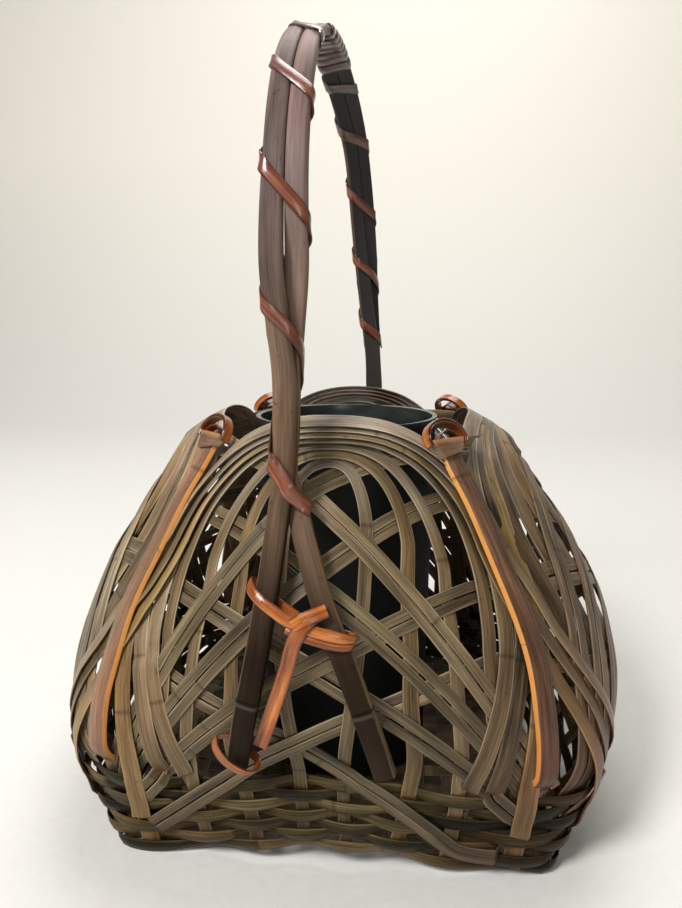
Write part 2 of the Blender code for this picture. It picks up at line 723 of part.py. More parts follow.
def winding_place(share):
    """A point of the winding's middle line, and the direction out of the handle there."""
    turns = share * WINDING_TURNS[-1]
    position = smooth_value(WINDING_TURNS, WINDING_PLACE_SHARES, turns)
    turn = (WINDING_START_TURN + turns) * TURN
    cosine, sine = math.cos(turn), math.sin(turn)
    across, outward = winding_size(position)
    x = math.copysign(abs(cosine) ** (2 / WINDING_POWER), cosine)
    y = math.copysign(abs(sine) ** (2 / WINDING_POWER), sine)
    side, out = handle_side(position), handle_outward(position)
    steep_x = math.copysign(abs(x) ** (WINDING_POWER - 1), x) / across
    steep_y = math.copysign(abs(y) ** (WINDING_POWER - 1), y) / outward
    middle = handle_centre(position) + side * x * across + out * y * outward
    return middle, (side * steep_x + out * steep_y).normalized()


def print_least_gap(name, rungs, steps_apart):
    """Measures how near a strip's turns come to each other, from points on its edges at every step."""
    least = min(
        (one - other).length
        for i, rung in enumerate(rungs)
        for other_rung in rungs[i + steps_apart :]
        for one in rung
        for other in other_rung
    )
    print(f"{name}: least gap between its turns {1000 * least:.2f} mm")


def make_winding(collection, material):
    """One unbroken rattan strip wound round both halves: far apart on the legs, close over the crown."""

    def place(position, sideways):
        return beside_path(winding_place, position, sideways)

    strip("handle_winding", place, WINDING_STEPS, 1, RATTAN_WIDTH, RATTAN_THICKNESS, collection, material)
    across = (-RATTAN_WIDTH / 2, RATTAN_WIDTH / 2)
    rungs = [[place(i / WINDING_STEPS, aside) for aside in across] for i in range(WINDING_STEPS + 1)]
    print_least_gap("handle_winding", rungs, TURN_STEPS_APART)


def tie_point(place, turned):
    """A point of the tie's ring, on the front or, turned about, on the back."""
    count = len(TIE_ANGLES)
    low = int(place)
    places = [low - 1, low, low + 1, low + 2]
    angle, share, out = (
        smooth_value(places, [table[k % count] for k in places], place)
        for table in (TIE_ANGLES, TIE_HEIGHT_SHARES, TIE_OUT_SHARES)
    )
    return wall_point(leg_angle(angle, turned), leg_height(share), between(TIE_BEHIND, TIE_BEFORE, out))


def make_leg_tie(name, turned, collection, cutters, material):
    """The rattan tie round both legs where they cross, with the strap that runs down from it."""
    middle_angle = leg_angle(TIE_ANGLES[0], turned)
    level = leg_height(TIE_HEIGHT_SHARES[0])
    upward = (bare_wall(middle_angle, level + TIE_WIDTH) - bare_wall(middle_angle, level)).normalized()

    def ring_place(angle, sideways):
        place = angle / TURN * len(TIE_ANGLES)
        return tie_point(place % len(TIE_ANGLES), turned) + upward * sideways

    def strap_route(position):
        place = position * (len(STRAP_ANGLES) - 1)
        places = range(len(STRAP_ANGLES))
        angle, share, out = (
            smooth_value(places, table, place)
            for table in (STRAP_ANGLES, STRAP_HEIGHT_SHARES, STRAP_OUT_SHARES)
        )
        return leg_angle(angle, turned), leg_height(share), between(STRAP_OFFSET, TIE_BEFORE, out)

    def strap_place(position, sideways):
        return on_wall(strap_route, position, sideways)

    ring = hoop(name, ring_place, TIE_STEPS, TIE_WIDTH, RATTAN_THICKNESS, collection, material)
    strap = strip(
        f"{name}_strap", strap_place, STRAP_STEPS, 1, STRAP_WIDTH, STRAP_THICKNESS, cutters, material
    )
    join = ring.modifiers.new("Strap", "BOOLEAN")
    join.operation = "UNION"
    join.solver = "EXACT"
    join.object = strap


def make_liner(collection, material):
    """The lacquered water liner: a cup with a thin lip, standing on the mat."""
    bottom = CROSS_THICKNESS + MAT_THICKNESS + 2 * GAP
    foot = LINER_RADIUS - LINER_TAPER
    profile = (
        (0.0, bottom + LINER_FLOOR),
        (foot - LINER_WALL, bottom + LINER_FLOOR),
        (LINER_RADIUS - LINER_WALL, LINER_TOP - LINER_LIP),
        (LINER_RADIUS - LINER_WALL + LINER_LIP, LINER_TOP),
        (LINER_RADIUS + LINER_LIP / 2, LINER_TOP),
        (LINER_RADIUS + LINER_LIP, LINER_TOP - LINER_LIP),
        (LINER_RADIUS, LINER_TOP - 2 * LINER_LIP),
        (foot, bottom + LINER_LIP),
        (foot - LINER_LIP, bottom),
        (0.0, bottom),
    )
    mesh = bmesh.new()
    vertices = [mesh.verts.new((radius, 0.0, height)) for radius, height in profile]
    for one, other in zip(vertices, vertices[1:]):
        mesh.edges.new((one, other))
    data = bpy.data.meshes.new("water_liner")
    mesh.to_mesh(data)
    mesh.free()
    liner = keep(data, "water_liner", collection, material, smooth=False)
    turn = liner.modifiers.new("Turn", "SCREW")
    turn.steps = LINER_STEPS
    turn.render_steps = LINER_STEPS
    turn.use_merge_vertices = True
    turn.merge_threshold = MERGE_DISTANCE
    turn.use_smooth_shade = True


def main():
    """Builds every piece."""
    clear_scene()
    basket = new_collection(COLLECTION_NAME)
    cutters = new_collection("Cutters")
    bamboo = new_material("smoked_bamboo", (0.16, 0.12, 0.07), 0.5)
    dark_bamboo = new_material("dark_bamboo", (0.09, 0.045, 0.025), 0.45)
    rattan = new_material("rattan", (0.42, 0.13, 0.04), 0.35)
    lacquer = new_material("lacquer", (0.012, 0.015, 0.011), 0.2)
    make_rows(basket, bamboo)
    make_arches(basket, bamboo)
    make_diagonals(basket, bamboo)
    make_corners(basket, dark_bamboo, rattan)
    make_base(basket, bamboo)
    make_handle(basket, dark_bamboo)
    make_winding(basket, rattan)
    make_leg_tie("front_leg_tie", False, basket, cutters, rattan)
    make_leg_tie("back_leg_tie", True, basket, cutters, rattan)
    make_liner(basket, lacquer)
    for cutter in cutters.objects:
        cutter.hide_render = True
        cutter.display_type = "WIRE"


main()
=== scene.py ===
"""Looks of the ikebana basket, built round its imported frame.

Metres, +Z up, front towards -Y. A place on the basket's wall is an angle from the middle of the front,
a height, and an offset outwards. Every strip is a route on the wall with a rounded section swept along it.
"""

import math

import bmesh
import bpy
import numpy as np
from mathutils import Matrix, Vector


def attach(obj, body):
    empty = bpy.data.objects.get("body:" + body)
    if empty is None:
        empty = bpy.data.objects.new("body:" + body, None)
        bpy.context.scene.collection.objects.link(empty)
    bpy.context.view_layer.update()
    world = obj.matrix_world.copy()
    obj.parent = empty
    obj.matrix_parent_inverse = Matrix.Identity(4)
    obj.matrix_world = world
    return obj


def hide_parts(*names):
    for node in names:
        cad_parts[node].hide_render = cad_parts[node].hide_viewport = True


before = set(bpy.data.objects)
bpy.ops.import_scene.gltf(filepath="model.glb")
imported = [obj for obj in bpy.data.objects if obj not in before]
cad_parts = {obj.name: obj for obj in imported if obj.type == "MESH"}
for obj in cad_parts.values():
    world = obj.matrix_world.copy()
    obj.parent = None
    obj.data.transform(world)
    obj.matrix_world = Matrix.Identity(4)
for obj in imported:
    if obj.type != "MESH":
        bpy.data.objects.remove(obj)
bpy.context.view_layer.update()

MM = 0.001
QUARTER = math.pi / 2
UP = np.array([0.0, 0.0, 1.0])
SIDES = ("front", "right", "back", "left")
CORNER_NAMES = ("front_right", "back_right", "back_left", "front_left")

# The wall: its half sizes where it is widest, and up its height the shares of them
MOUTH = 0.225
HALF_WIDTH, HALF_DEPTH, CORNER_HALF = 0.160, 0.140, 0.116
HEIGHTS = (0.0, 0.09, 0.18, 0.27, 0.36, 0.47, 0.58, 0.69, 0.80, 0.91, 1.0)
WIDTHS = (0.713, 0.790, 0.867, 0.944, 1.0, 0.988, 0.925, 0.838, 0.731, 0.613, 0.519)
DEPTHS = (0.800, 0.832, 0.865, 0.900, 0.957, 1.0, 0.986, 0.921, 0.814, 0.693, 0.586)
CORNERS = (0.948, 0.966, 0.983, 1.0, 0.974, 0.914, 0.845, 0.750, 0.655, 0.552, 0.487)
FOOT_RISE = 0.009

# The weaving rows at the foot, each over one stake and under the next
ROW_COUNT, ROW_PITCH, ROW_LOW, STAKES = 7, 0.0069, 0.0044, 32
ROWS_TOP = ROW_LOW + (ROW_COUNT - 0.5) * ROW_PITCH

rng = np.random.RandomState(7)


# Curves and the wall


def smooth_value(places, values, place):
    """Reads a smooth curve through a table, straight on beyond its end and level before its start."""
    if place <= places[0]:
        return values[0]
    if place >= places[-1]:
        return values[-1] + (values[-1] - values[-2]) / (places[-1] - places[-2]) * (place - places[-1])
    i = max(k for k in range(len(places) - 1) if places[k] <= place)
    span = places[i + 1] - places[i]
    before, after = max(i - 1, 0), min(i + 2, len(places) - 1)
    slope_in = (values[i + 1] - values[before]) / (places[i + 1] - places[before])
    slope_out = (values[after] - values[i]) / (places[after] - places[i])
    t = (place - places[i]) / span
    return (
        values[i] * (2 * t**3 - 3 * t**2 + 1)
        + span * slope_in * (t**3 - 2 * t**2 + t)
        + values[i + 1] * (3 * t**2 - 2 * t**3)
        + span * slope_out * (t**3 - t**2)
    )


def smooth_values(places, values, wanted):
    """The same curve, read at many places."""
    return np.array([smooth_value(places, values, float(w)) for w in wanted])


def smooth_step(low, high, value):
    """Rises smoothly from 0 at low to 1 at high."""
    t = np.clip((np.asarray(value, float) - low) / (high - low), 0, 1)
    return t * t * (3 - 2 * t)


def running_mean(values, width):
    """Mean of each full window of so many values."""
    return np.convolve(values, np.ones(width) / width, mode="valid")


def lengths(points):
    """Distance along a row of points."""
    return np.concatenate([[0.0], np.cumsum(np.linalg.norm(np.diff(points, axis=0), axis=1))])


def curve_points(points, count):
    """A smooth open curve through points, read at even steps."""
    points = np.asarray(points, float)
    places = lengths(points)
    wanted = np.linspace(0, places[-1], count)
    return np.stack([smooth_values(list(places), list(column), wanted) for column in points.T], -1)


def unit(vectors):
    """The same directions, one long."""
    return vectors / np.maximum(np.linalg.norm(vectors, axis=-1, keepdims=True), 1e-12)


LEVELS = np.linspace(-0.02, 0.25, 1081)
WALL_WIDTH = HALF_WIDTH * smooth_values(HEIGHTS, WIDTHS, LEVELS / MOUTH)
WALL_DEPTH = HALF_DEPTH * smooth_values(HEIGHTS, DEPTHS, LEVELS / MOUTH)
WALL_CORNER = CORNER_HALF * smooth_values(HEIGHTS, CORNERS, LEVELS / MOUTH)


def solve_powers():
    """Squareness of the wall's plan at every level, by halving."""
    low, high = np.ones_like(LEVELS), np.full_like(LEVELS, 60.0)
    for _ in range(40):
        power = (low + high) / 2
        above = (WALL_CORNER / WALL_WIDTH) ** power + (WALL_CORNER / WALL_DEPTH) ** power > 1
        low, high = np.where(above, power, low), np.where(above, high, power)
    return power


WALL_POWER = solve_powers()


def bare_wall(angle, height):
    """Points of the wall itself."""
    angle, height = np.broadcast_arrays(np.asarray(angle, float), np.asarray(height, float))
    width, depth, power = (np.interp(height, LEVELS, table) for table in (WALL_WIDTH, WALL_DEPTH, WALL_POWER))
    across, along = np.sin(angle), -np.cos(angle)
    reach = ((np.abs(across) / width) ** power + (np.abs(along) / depth) ** power) ** (-1 / power)
    return np.stack([reach * across, reach * along, height], -1)


def wall_normal(angle, height):
    """Unit directions out of the wall."""
    around = bare_wall(angle + 0.004, height) - bare_wall(angle - 0.004, height)
    upward = bare_wall(angle, height + 0.0008) - bare_wall(angle, height - 0.0008)
    return unit(np.cross(around, upward))


def wall_point(angle, height, offset):
    """Points at an offset outwards from the wall."""
    return bare_wall(angle, height) + wall_normal(angle, height) * np.asarray(offset)[..., None]


def foot_lift(angle):
    """How far the foot's edge stands off the floor."""
    return FOOT_RISE * np.cos(2 * np.asarray(angle)) ** 2


# Meshes


def flat_section(width, thickness, crown=0.12 * MM, edge=0.28 * MM):
    """Section of a split strip: flat inside, slightly crowned outside, with rounded edges."""
    w, t = width / 2, thickness / 2
    half = [(w - edge, -t), (w, -t + edge), (w, t - edge), (w - edge, t)]
    other = [(-x, y) for x, y in half[::-1]]
    return np.array(other[-1:] + half + [(0, t + crown)] + other[:-1])


class Build:
    """Collects swept sections into one mesh, with each point's place along and across its strip."""

    def __init__(self):
        self.points, self.faces, self.values, self.count = [], [], [], 0

    def add(self, grid, along, across, tint):
        """grid is stations by section points; along and tint are per station or plain, across per point."""
        stations, around = grid.shape[:2]
        start = self.count
        self.points.append(grid.reshape(-1, 3))
        index = np.arange(stations * around).reshape(stations, around) + start
        first, second = index[:-1], index[1:]
        quads = np.stack([first, np.roll(first, -1, 1), np.roll(second, -1, 1), second], -1)
        self.faces += quads.reshape(-1, 4).tolist() + [index[0].tolist()[::-1], index[-1].tolist()]
        along = np.broadcast_to(np.asarray(along, float)[..., None], (stations, around))
        across = np.broadcast_to(across, (stations, around))
        tint = np.broadcast_to(np.asarray(tint, float).reshape(-1, 1), (stations, around))
        self.values.append(np.stack([along, across, tint], -1).reshape(-1, 3))
        self.count += stations * around

    def add_turned(self, grid, along, across, tint):
        """The same for a plate whose grain runs round its section: along per point, across per station."""
        self.add(grid, np.zeros(len(grid)), np.zeros(grid.shape[1]), tint)
        self.values[-1][:, 0] = np.broadcast_to(np.asarray(along)[None, :], grid.shape[:2]).reshape(-1)
        self.values[-1][:, 1] = np.broadcast_to(np.asarray(across)[:, None], grid.shape[:2]).reshape(-1)

    def finish(self, name, body, slot, material, nodes=()):
        """Makes the piece, which rides on a body and stands for CAD nodes."""
        mesh = bpy.data.meshes.new(name)
        mesh.from_pydata(np.concatenate(self.points).tolist(), [], self.faces)
        values = np.concatenate(self.values).astype(np.float32)
        for k, label in enumerate(("along", "across", "tint")):
            attribute = mesh.attributes.new(label, "FLOAT", "POINT")
            attribute.data.foreach_set("value", np.ascontiguousarray(values[:, k]))
        work = bmesh.new()
        work.from_mesh(mesh)
        bmesh.ops.recalc_face_normals(work, faces=work.faces)
        work.to_mesh(mesh)
        work.free()
        mesh.shade_smooth()
        mesh.set_sharp_from_angle(angle=math.radians(40))
        obj = bpy.data.objects.new(name, mesh)
        bpy.context.scene.collection.objects.link(obj)
        mesh.materials.append(material)
        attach(obj, body)
        if nodes:
            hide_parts(*nodes)


def sweep(build, centres, outs, section, tint, scale=1.0, lift=1.0, hand=1):
    """Sweeps a section along points, its outer face towards the given directions."""
    runs = unit(np.gradient(centres, axis=0))
    sides = unit(np.cross(outs, runs))
    outs = np.cross(runs, sides) * np.reshape(lift, (-1, 1))
    scale = np.broadcast_to(scale, len(centres))
    grid = (
        centres[:, None]
        + sides[:, None] * section[None, :, 0, None] * scale[:, None, None]
        + outs[:, None] * section[None, :, 1, None]
    )
    build.add(grid, lengths(centres), hand * section[:, 0] / np.abs(section[:, 0]).max(), tint)


def hoop(build, points, upward, width, tint, count=60, thick=1.0, crown=0.25):
    """A band bent through points, its width kept as near as can be to one direction."""
    centres = curve_points(points, count)
    runs = unit(np.gradient(centres, axis=0))
    sides = unit(upward - (runs @ upward)[:, None] * runs)
    section = flat_section(width * MM, thick * MM, crown=crown * MM, edge=0.3 * MM)
    sweep(build, centres, np.cross(runs, sides), section, tint)


def lay(build, angle, height, offset, section, tint, shift=0.0, tilt=0.0, scale=1.0):
    """Sweeps a section along a route on the wall, following the wall across the strip too."""
    centres = bare_wall(angle, height)
    side = unit(np.cross(wall_normal(angle, height), np.gradient(centres, axis=0)))
    scale, tilt = (np.broadcast_to(v, len(centres)) for v in (scale, tilt))
    sideways = section[None, :, 0] * scale[:, None] + np.reshape(shift, (-1, 1))
    outward = offset[:, None] + section[None, :, 1] + section[None, :, 0] * tilt[:, None]
    beside = centres[:, None] + side[:, None] * sideways[..., None]
    grid = wall_point(np.arctan2(beside[..., 0], -beside[..., 1]), beside[..., 2], outward)
    build.add(grid, lengths(centres), section[:, 0] / np.abs(section[:, 0]).max(), tint)


# Routes of the strips

# Arches from the inner one out: angle and height where the bow starts, the bow's top, and the leg's
# angles and heights from there down, in degrees and millimetres
ARCHES = (
    (10.0, 180, 209.0, ((8.6, 151), (6.8, 118), (5.0, 73), (4.9, 39), (5.6, 3))),
    (20.0, 172, 213.0, ((18.4, 155), (17.6, 130), (17.0, 107), (18.4, 68), (17.6, 40), (16.9, 3))),
    (28.0, 160, 216.3, ((27.0, 148), (26.2, 105), (27.8, 60), (28.2, 30), (28.1, 3))),
    (37.5, 165, 219.0, ((37.2, 156), (35.6, 141), (33.2, 111), (32.6, 95), (33.4, 73), (34.8, 50), (36.2, 33))),
    (40.5, 165, 221.0, ((42.0, 140), (45.2, 115), (49.6, 86), (51.6, 61), (51.0, 29), (50.6, 3))),
    (43.2, 165, 223.0, ((44.4, 140), (48.2, 122), (52.2, 103), (55.0, 83), (56.2, 50), (56.6, 33))),
    (46.2, 165, 225.0, ((48.8, 148), (51.2, 126), (53.6, 113), (58.0, 88), (60.0, 68), (61.4, 50), (62.0, 33))),
)
ARCH_WIDTHS = (6.4, 7.6, 7.2, 8.8, 9.2, 8.4, 8.2)
FULLER = (0.0, 0.42, 0.28, 0.42)  # how much wider the strips of each side are
BOW_POWER = 2.4

# Diagonals from the lowest one up, on the way up and on the way down: height at the corner, height at
# the far end, and how square the curve is; and how many degrees each reaches to either side
DIAGONALS = (
    ((118.0, 3.0, 2.0), (109.0, -20.0, 1.85)),
    ((149.5, 15.5, 2.5), (145.0, 19.0, 2.34)),
    ((189.0, 27.0, 2.7), (180.0, 27.0, 2.62)),
    ((212.0, 28.0, 4.15), (209.0, 42.0, 2.95)),
)
REACHES = (87.5, 87.0, 86.0, 88.0)
PAIR_WIDTH = 10.9 * MM
STRIP = 1.0 * MM
STATION = 3.3 * MM
TUCK = 5  # stations at each end of a diagonal that are hidden at the foot

# Heights where the strips change places: the inner bows rise over the others, the fourth arch comes
# out from behind the diagonals, and the outer legs dive behind the rows
BOW_FOOT, FOURTH_OUT, OUTER_DIVE = 0.196, 0.135, 0.053


def even_steps(points, *values):
    """Values along a row of points, read again at even steps."""
    run = lengths(points)
    even = np.linspace(0, run[-1], int(run[-1] / STATION))
    return [np.interp(even, run, v) for v in values]


def arch_points(order, side):
    """Angles and heights of one arched stake, from its left foot to its right foot."""
    spread, shoulder, top, leg = ARCHES[order]
    turn = np.linspace(0, QUARTER, 46)
    angle = spread * np.sin(turn) ** (2 / BOW_POWER)
    height = shoulder + (top - shoulder) * np.maximum(np.cos(turn), 0) ** (2 / BOW_POWER)
    table = ((spread, shoulder),) + leg
    drop = np.linspace(shoulder, leg[-1][1], int((shoulder - leg[-1][1]) / 3.4) + 2)[1:]
    angle = np.concatenate([angle, smooth_values([-z for _, z in table], [a for a, _ in table], -drop)])
    height = np.concatenate([height, drop])
    down = np.clip((shoulder + 25 - height) / 150, 0, 1)
    halves = []
    for hand in (-1, 1):
        noise = rng.uniform(-1, 1, 6)
        wander = 0.45 * noise[0] * np.sin(3 * down + 3 * noise[1]) + 0.5 * noise[2] * down
        wander *= smooth_step(4, 40, height) * down
        halves.append(hand * (angle + wander))
    angles = np.concatenate([halves[0][::-1], halves[1][1:]])
    heights = np.concatenate([height[::-1], height[1:]])
    angles, heights = even_steps(bare_wall(np.radians(angles), heights * MM), angles, heights)
    if side != 0:
        angles = running_mean(running_mean(np.pad(angles, 8, mode="reflect", reflect_type="odd"), 9), 9)
    kept = np.flatnonzero(heights > 4.2 + 1000 * foot_lift(np.radians(angles)))
    angles, heights = angles[kept[0] : kept[-1] + 1], heights[kept[0] : kept[-1] + 1]
    return np.radians(angles) + side * QUARTER, heights * MM


def diagonal_points(order, corner):
    """Angles and heights of one diagonal pair over a corner."""
    degrees = np.linspace(-REACHES[order], REACHES[order], 200)
    climb, fall = (top + (end - top) * np.abs(degrees / 90) ** power for top, end, power in DIAGONALS[order])
    mixed = climb + (fall - climb) * smooth_step(-14, 14, degrees)
    low = np.where(degrees < 0, 9.0, 16.0)
    heights = np.where(mixed < low + 6, low + 6 * np.exp((mixed - low - 6) / 6), mixed)
    heights += rng.uniform(-1, 1) * 1.2 * np.sin(np.radians(2 * degrees) + 6 * rng.uniform())
    angles = np.radians(degrees) + corner * QUARTER + math.pi / 4
    angles, heights = even_steps(bare_wall(angles, heights * MM), angles, heights)
    return angles, heights * MM


def make_routes():
    """Every arch and diagonal pair, with what the weaving needs to know of it."""
    routes = []
    for side in range(4):
        for order in range(len(ARCHES)):
            angle, height = arch_points(order, side)
            leg = 1 - smooth_step(0.150, 0.200, height)
            slope = 0.0 if order == 0 else (0.10 if order < 3 else 0.16)
            bow = (0.42 if order > 2 else 0.24) * (1 if side % 2 == 0 else 1.2)
            route = {"kind": "arch", "owner": side, "order": order, "angle": angle, "height": height}
            route |= {"width": ARCH_WIDTHS[order] * MM * (1 + FULLER[side]), "tint": rng.uniform()}
            routes.append(route | {"tilt": -slope * leg - bow * (1 - leg)})
    for corner in range(4):
        for order in range(len(DIAGONALS)):
            angle, height = diagonal_points(order, corner)
            route = {"kind": "diagonal", "owner": corner, "order": order, "angle": angle, "height": height}
            routes.append(route | {"width": PAIR_WIDTH, "tint": rng.uniform()})
    for route in routes:
        route["centres"] = bare_wall(route["angle"], route["height"])
        route["runs"] = unit(np.gradient(route["centres"], axis=0))
    return routes


# Weaving: who lies over whom at each crossing, and the offsets that keep every strip clear


def rising(route, angle):
    """True where a diagonal climbs with the angle."""
    middle = math.pi / 4 + route["owner"] * QUARTER
    return (angle - middle + math.pi) % (2 * math.pi) - math.pi < 0


def level(route, angle, height):
    """How far out a strip lies among the strips that it meets, in plain ranks."""
    order, even = route["order"], route["owner"] % 2 == 0
    if route["kind"] == "diagonal":
        degrees = math.degrees(angle)
        local = degrees - 90 * round(degrees / 90)
        climbs = rising(route, angle)
        return 6 if (climbs if abs(local) < 3 else climbs == (local < 0)) else 2
    if order < 3:
        return (8 + order if even else 18 - order) if height > BOW_FOOT else 4
    if order == 3 and height < FOURTH_OUT:
        return 5
    if order > 4 and height < OUTER_DIVE:
        return 1
    return 20 + order if even else 18 - order


def lies_over(one, other, angle, height):
    """True if one lies over the other at a crossing."""
    if one["kind"] == other["kind"] == "arch" and one["owner"] == other["owner"]:
        return (one["order"] > other["order"]) == (one["owner"] % 2 == 0)
    first, second = level(one, angle, height), level(other, angle, height)
    if sorted((first, second)) == [2, 4]:
        pair = one if one["kind"] == "diagonal" else other
        if pair["order"] == 1:
            first, second = second, first
    return first > second


def shared_stations(one, other):
    """Stations of two routes that lie on one another."""
    far, near, overlap, abreast = 1.0, 0.015, 0.0005, 0.0026
    gaps = np.linalg.norm(one["centres"][:, None] - other["centres"][None], axis=-1)
    if one["kind"] == "diagonal":
        gaps[:TUCK], gaps[-TUCK:] = far, far
    if other["kind"] == "diagonal":
        gaps[:, :TUCK], gaps[:, -TUCK:] = far, far
    found = set()
    if gaps.min() > near:
        return found
    for grid, source, target in ((gaps.T, other, one), (gaps, one, other)):
        for j, i in enumerate(grid.argmin(1)):
            if grid[j, i] > near:
                continue
            away = source["centres"][j] - target["centres"][i]
            run = target["runs"][i]
            sideways = np.linalg.norm(away - (away @ run) * run)
            slant = abs(run @ source["runs"][j])
            reach = target["width"] / 2 + source["width"] / 2 * slant - overlap
            if sideways < reach and abs(away @ run) < abreast:
                found.add((i, j) if target is one else (j, i))
    return found


def weave(routes):
    """Offsets of every strip from the wall, settled so that crossing strips don't meet."""
    starts = np.cumsum([0] + [len(r["angle"]) for r in routes])
    total = starts[-1]
    over, under = [], []
    for a, one in enumerate(routes):
        for b, other in enumerate(routes[a + 1 :], a + 1):
            for i, j in sorted(shared_stations(one, other)):
                pair = (starts[a] + i, starts[b] + j)
                top = lies_over(one, other, one["angle"][i], one["height"][i])
                over.append(pair[0] if top else pair[1])
                under.append(pair[1] if top else pair[0])
    over, under = np.array(over), np.array(under)
    before, after = np.arange(total) - 1, np.arange(total) + 1
    before[starts[:-1]] = starts[:-1] + 1
    after[starts[1:] - 1] = starts[1:] - 2
    angle, height = (np.concatenate([r[key] for r in routes]) for key in ("angle", "height"))
    counts = np.diff(starts)
    is_arch = np.repeat([r["kind"] == "arch" for r in routes], counts)
    order = np.repeat([r["order"] for r in routes], counts)
    from_end = np.concatenate([np.minimum(np.arange(n), np.arange(n)[::-1]) for n in counts])
    in_rows = height < ROWS_TOP + foot_lift(angle) + 0.003
    corner_leg = is_arch & (order == 4)
    pinned = in_rows & is_arch & (order < 3) | corner_leg & (height < 0.024)
    tucked = is_arch & ((order > 4) | (order == 3)) & in_rows | ~is_arch & (from_end < 2)
    on_rows = in_rows & (~is_arch & (from_end > TUCK) | corner_leg & (height > 0.030))
    apart = STRIP + 0.12 * MM
    target = np.where(is_arch, 0.0, 0.4 * MM)
    offset = target.copy()
    for turn in range(520):
        smoothing = 0.5 if turn < 400 else 0.5 * (1 - (turn - 400) / 120)
        gap = offset[over] - offset[under] - apart
        bad = gap < 0
        push, hits = np.zeros(total), np.zeros(total)
        for ends, hand in ((over[bad], -1), (under[bad], 1)):
            np.add.at(push, ends, hand * gap[bad] / 2)
            np.add.at(hits, ends, 1)
        offset += push / np.maximum(hits, 1) * 1.6
        for _ in range(2):
            offset += smoothing * ((offset[before] + offset[after]) / 2 - offset)
        offset += 0.004 * (target - offset)
        offset[pinned] = 0.0
        offset[tucked] = np.minimum(offset[tucked], -1.6 * MM)
        offset[on_rows] = np.maximum(offset[on_rows], 3.2 * MM)
    for k, route in enumerate(routes):
        route["offset"] = offset[starts[k] : starts[k + 1]]
        if route["kind"] == "arch" and route["owner"] % 2:
            route["offset"] = route["offset"] - 3.0 * MM * smooth_step(BOW_FOOT, 0.224, route["height"])
    return routes


# Materials


class Nodes:
    """A short way to wire a material's nodes."""

    def __init__(self, name):
        self.material = bpy.data.materials.new(name)
        self.material.use_nodes = True
        self.tree = self.material.node_tree
        self.shader = self.tree.nodes["Principled BSDF"]

    def add(self, kind, inputs=(), **settings):
        """Adds a node; inputs are pairs of a socket's name or number and a value or another socket."""
        node = self.tree.nodes.new(kind)
        for key, value in settings.items():
            setattr(node, key, value)
        for socket, value in inputs:
            if hasattr(value, "is_output"):
                self.tree.links.new(value, node.inputs[socket])
            else:
                node.inputs[socket].default_value = value
        return node.outputs

    def math(self, operation, *values):
        """One arithmetic step."""
        return self.add("ShaderNodeMath", enumerate(values), operation=operation)[0]

    def times(self, *values):
        return self.math("MULTIPLY", *values)

    def plus(self, *values):
        return self.math("ADD", *values)

    def swing(self, value, reach):
        """How far a value lies from a half, times a reach."""
        return self.times(self.math("SUBTRACT", value, 0.5), reach)

    def attribute(self, name):
        return self.add("ShaderNodeAttribute", attribute_name=name)["Fac"]

    def place(self):
        """Place on the object, whole and as its three parts."""
        whole = self.add("ShaderNodeTexCoord")["Object"]
        return whole, *self.add("ShaderNodeSeparateXYZ", [(0, whole)])

    def vector(self, x, y, z):
        return self.add("ShaderNodeCombineXYZ", enumerate((x, y, z)))[0]

    def noise(self, vector, scale=1.0, detail=4.0, roughness=0.55):
        """Noise read at a vector."""
        inputs = [("Vector", vector), ("Scale", scale), ("Detail", detail), ("Roughness", roughness)]
        return self.add("ShaderNodeTexNoise", inputs)[0]

    def grains(self, along, across, own, table):
        """Noises drawn out along a strip, from their scales along and across, detail and roughness."""
        return [
            self.noise(self.vector(self.times(along, a), self.times(across, b), own), 1.0, detail, roughness)
            for a, b, detail, roughness in table
        ]

    def remap(self, value, low, high, to_low=0.0, to_high=1.0):
        inputs = enumerate((value, low, high, to_low, to_high))
        return self.add("ShaderNodeMapRange", inputs, clamp=True)[0]

    def ramp(self, value, places, colours):
        """A colour ramp through colours at places."""
        node = self.tree.nodes.new("ShaderNodeValToRGB")
        elements = node.color_ramp.elements
        while len(elements) < len(colours):
            elements.new(0.5)
        for element, place, colour in zip(elements, places, colours):
            element.position = place
            element.color = (*colour, 1.0)
        self.tree.links.new(value, node.inputs[0])
        return node.outputs[0]

    def mix(self, factor, one, other, blend="MIX"):
        """Mixes two colours, each a socket or a plain colour."""
        node = self.tree.nodes.new("ShaderNodeMix")
        node.data_type = "RGBA"
        node.blend_type = blend
        for socket, value in ((0, factor), (6, one), (7, other)):
            if hasattr(value, "is_output"):
                self.tree.links.new(value, node.inputs[socket])
            else:
                node.inputs[socket].default_value = (*value, 1.0) if socket else value
        return node.outputs[2]

    def stain_and_shade(self, factor, colour, stain_and_shade):
        """Multiplies a colour by another where the factor says so; it lays real tints and also painted shade."""
        return self.mix(factor, colour, stain_and_shade, "MULTIPLY")

    def finish(self, colour, roughness, bump, distance, specular=0.5, **plain):
        """Wires the shader; plain values are set on its own sockets."""
        self.shader.inputs["Specular IOR Level"].default_value = specular
        links = self.tree.links
        links.new(colour, self.shader.inputs["Base Color"])
        links.new(roughness, self.shader.inputs["Roughness"])
        normal = self.add("ShaderNodeBump", [("Height", bump), ("Strength", 1.0), ("Distance", distance)])[0]
        links.new(normal, self.shader.inputs["Normal"])
        for name, value in plain.items():
            self.shader.inputs[name.replace("_", " ").title()].default_value = value
        return self.material


def dim(colour, share):
    """A plain colour made darker."""
    return tuple(share * part for part in colour)


# Scales along and across, detail and roughness: fibres, fine fibres, patches and specks
BAMBOO_GRAINS = ((22.0, 5.0, 5.0, 0.65), (70.0, 16.0, 3.0, 0.6), (16.0, 0.5, 2.0, 0.5), (230.0, 2.2, 2.0, 0.5))
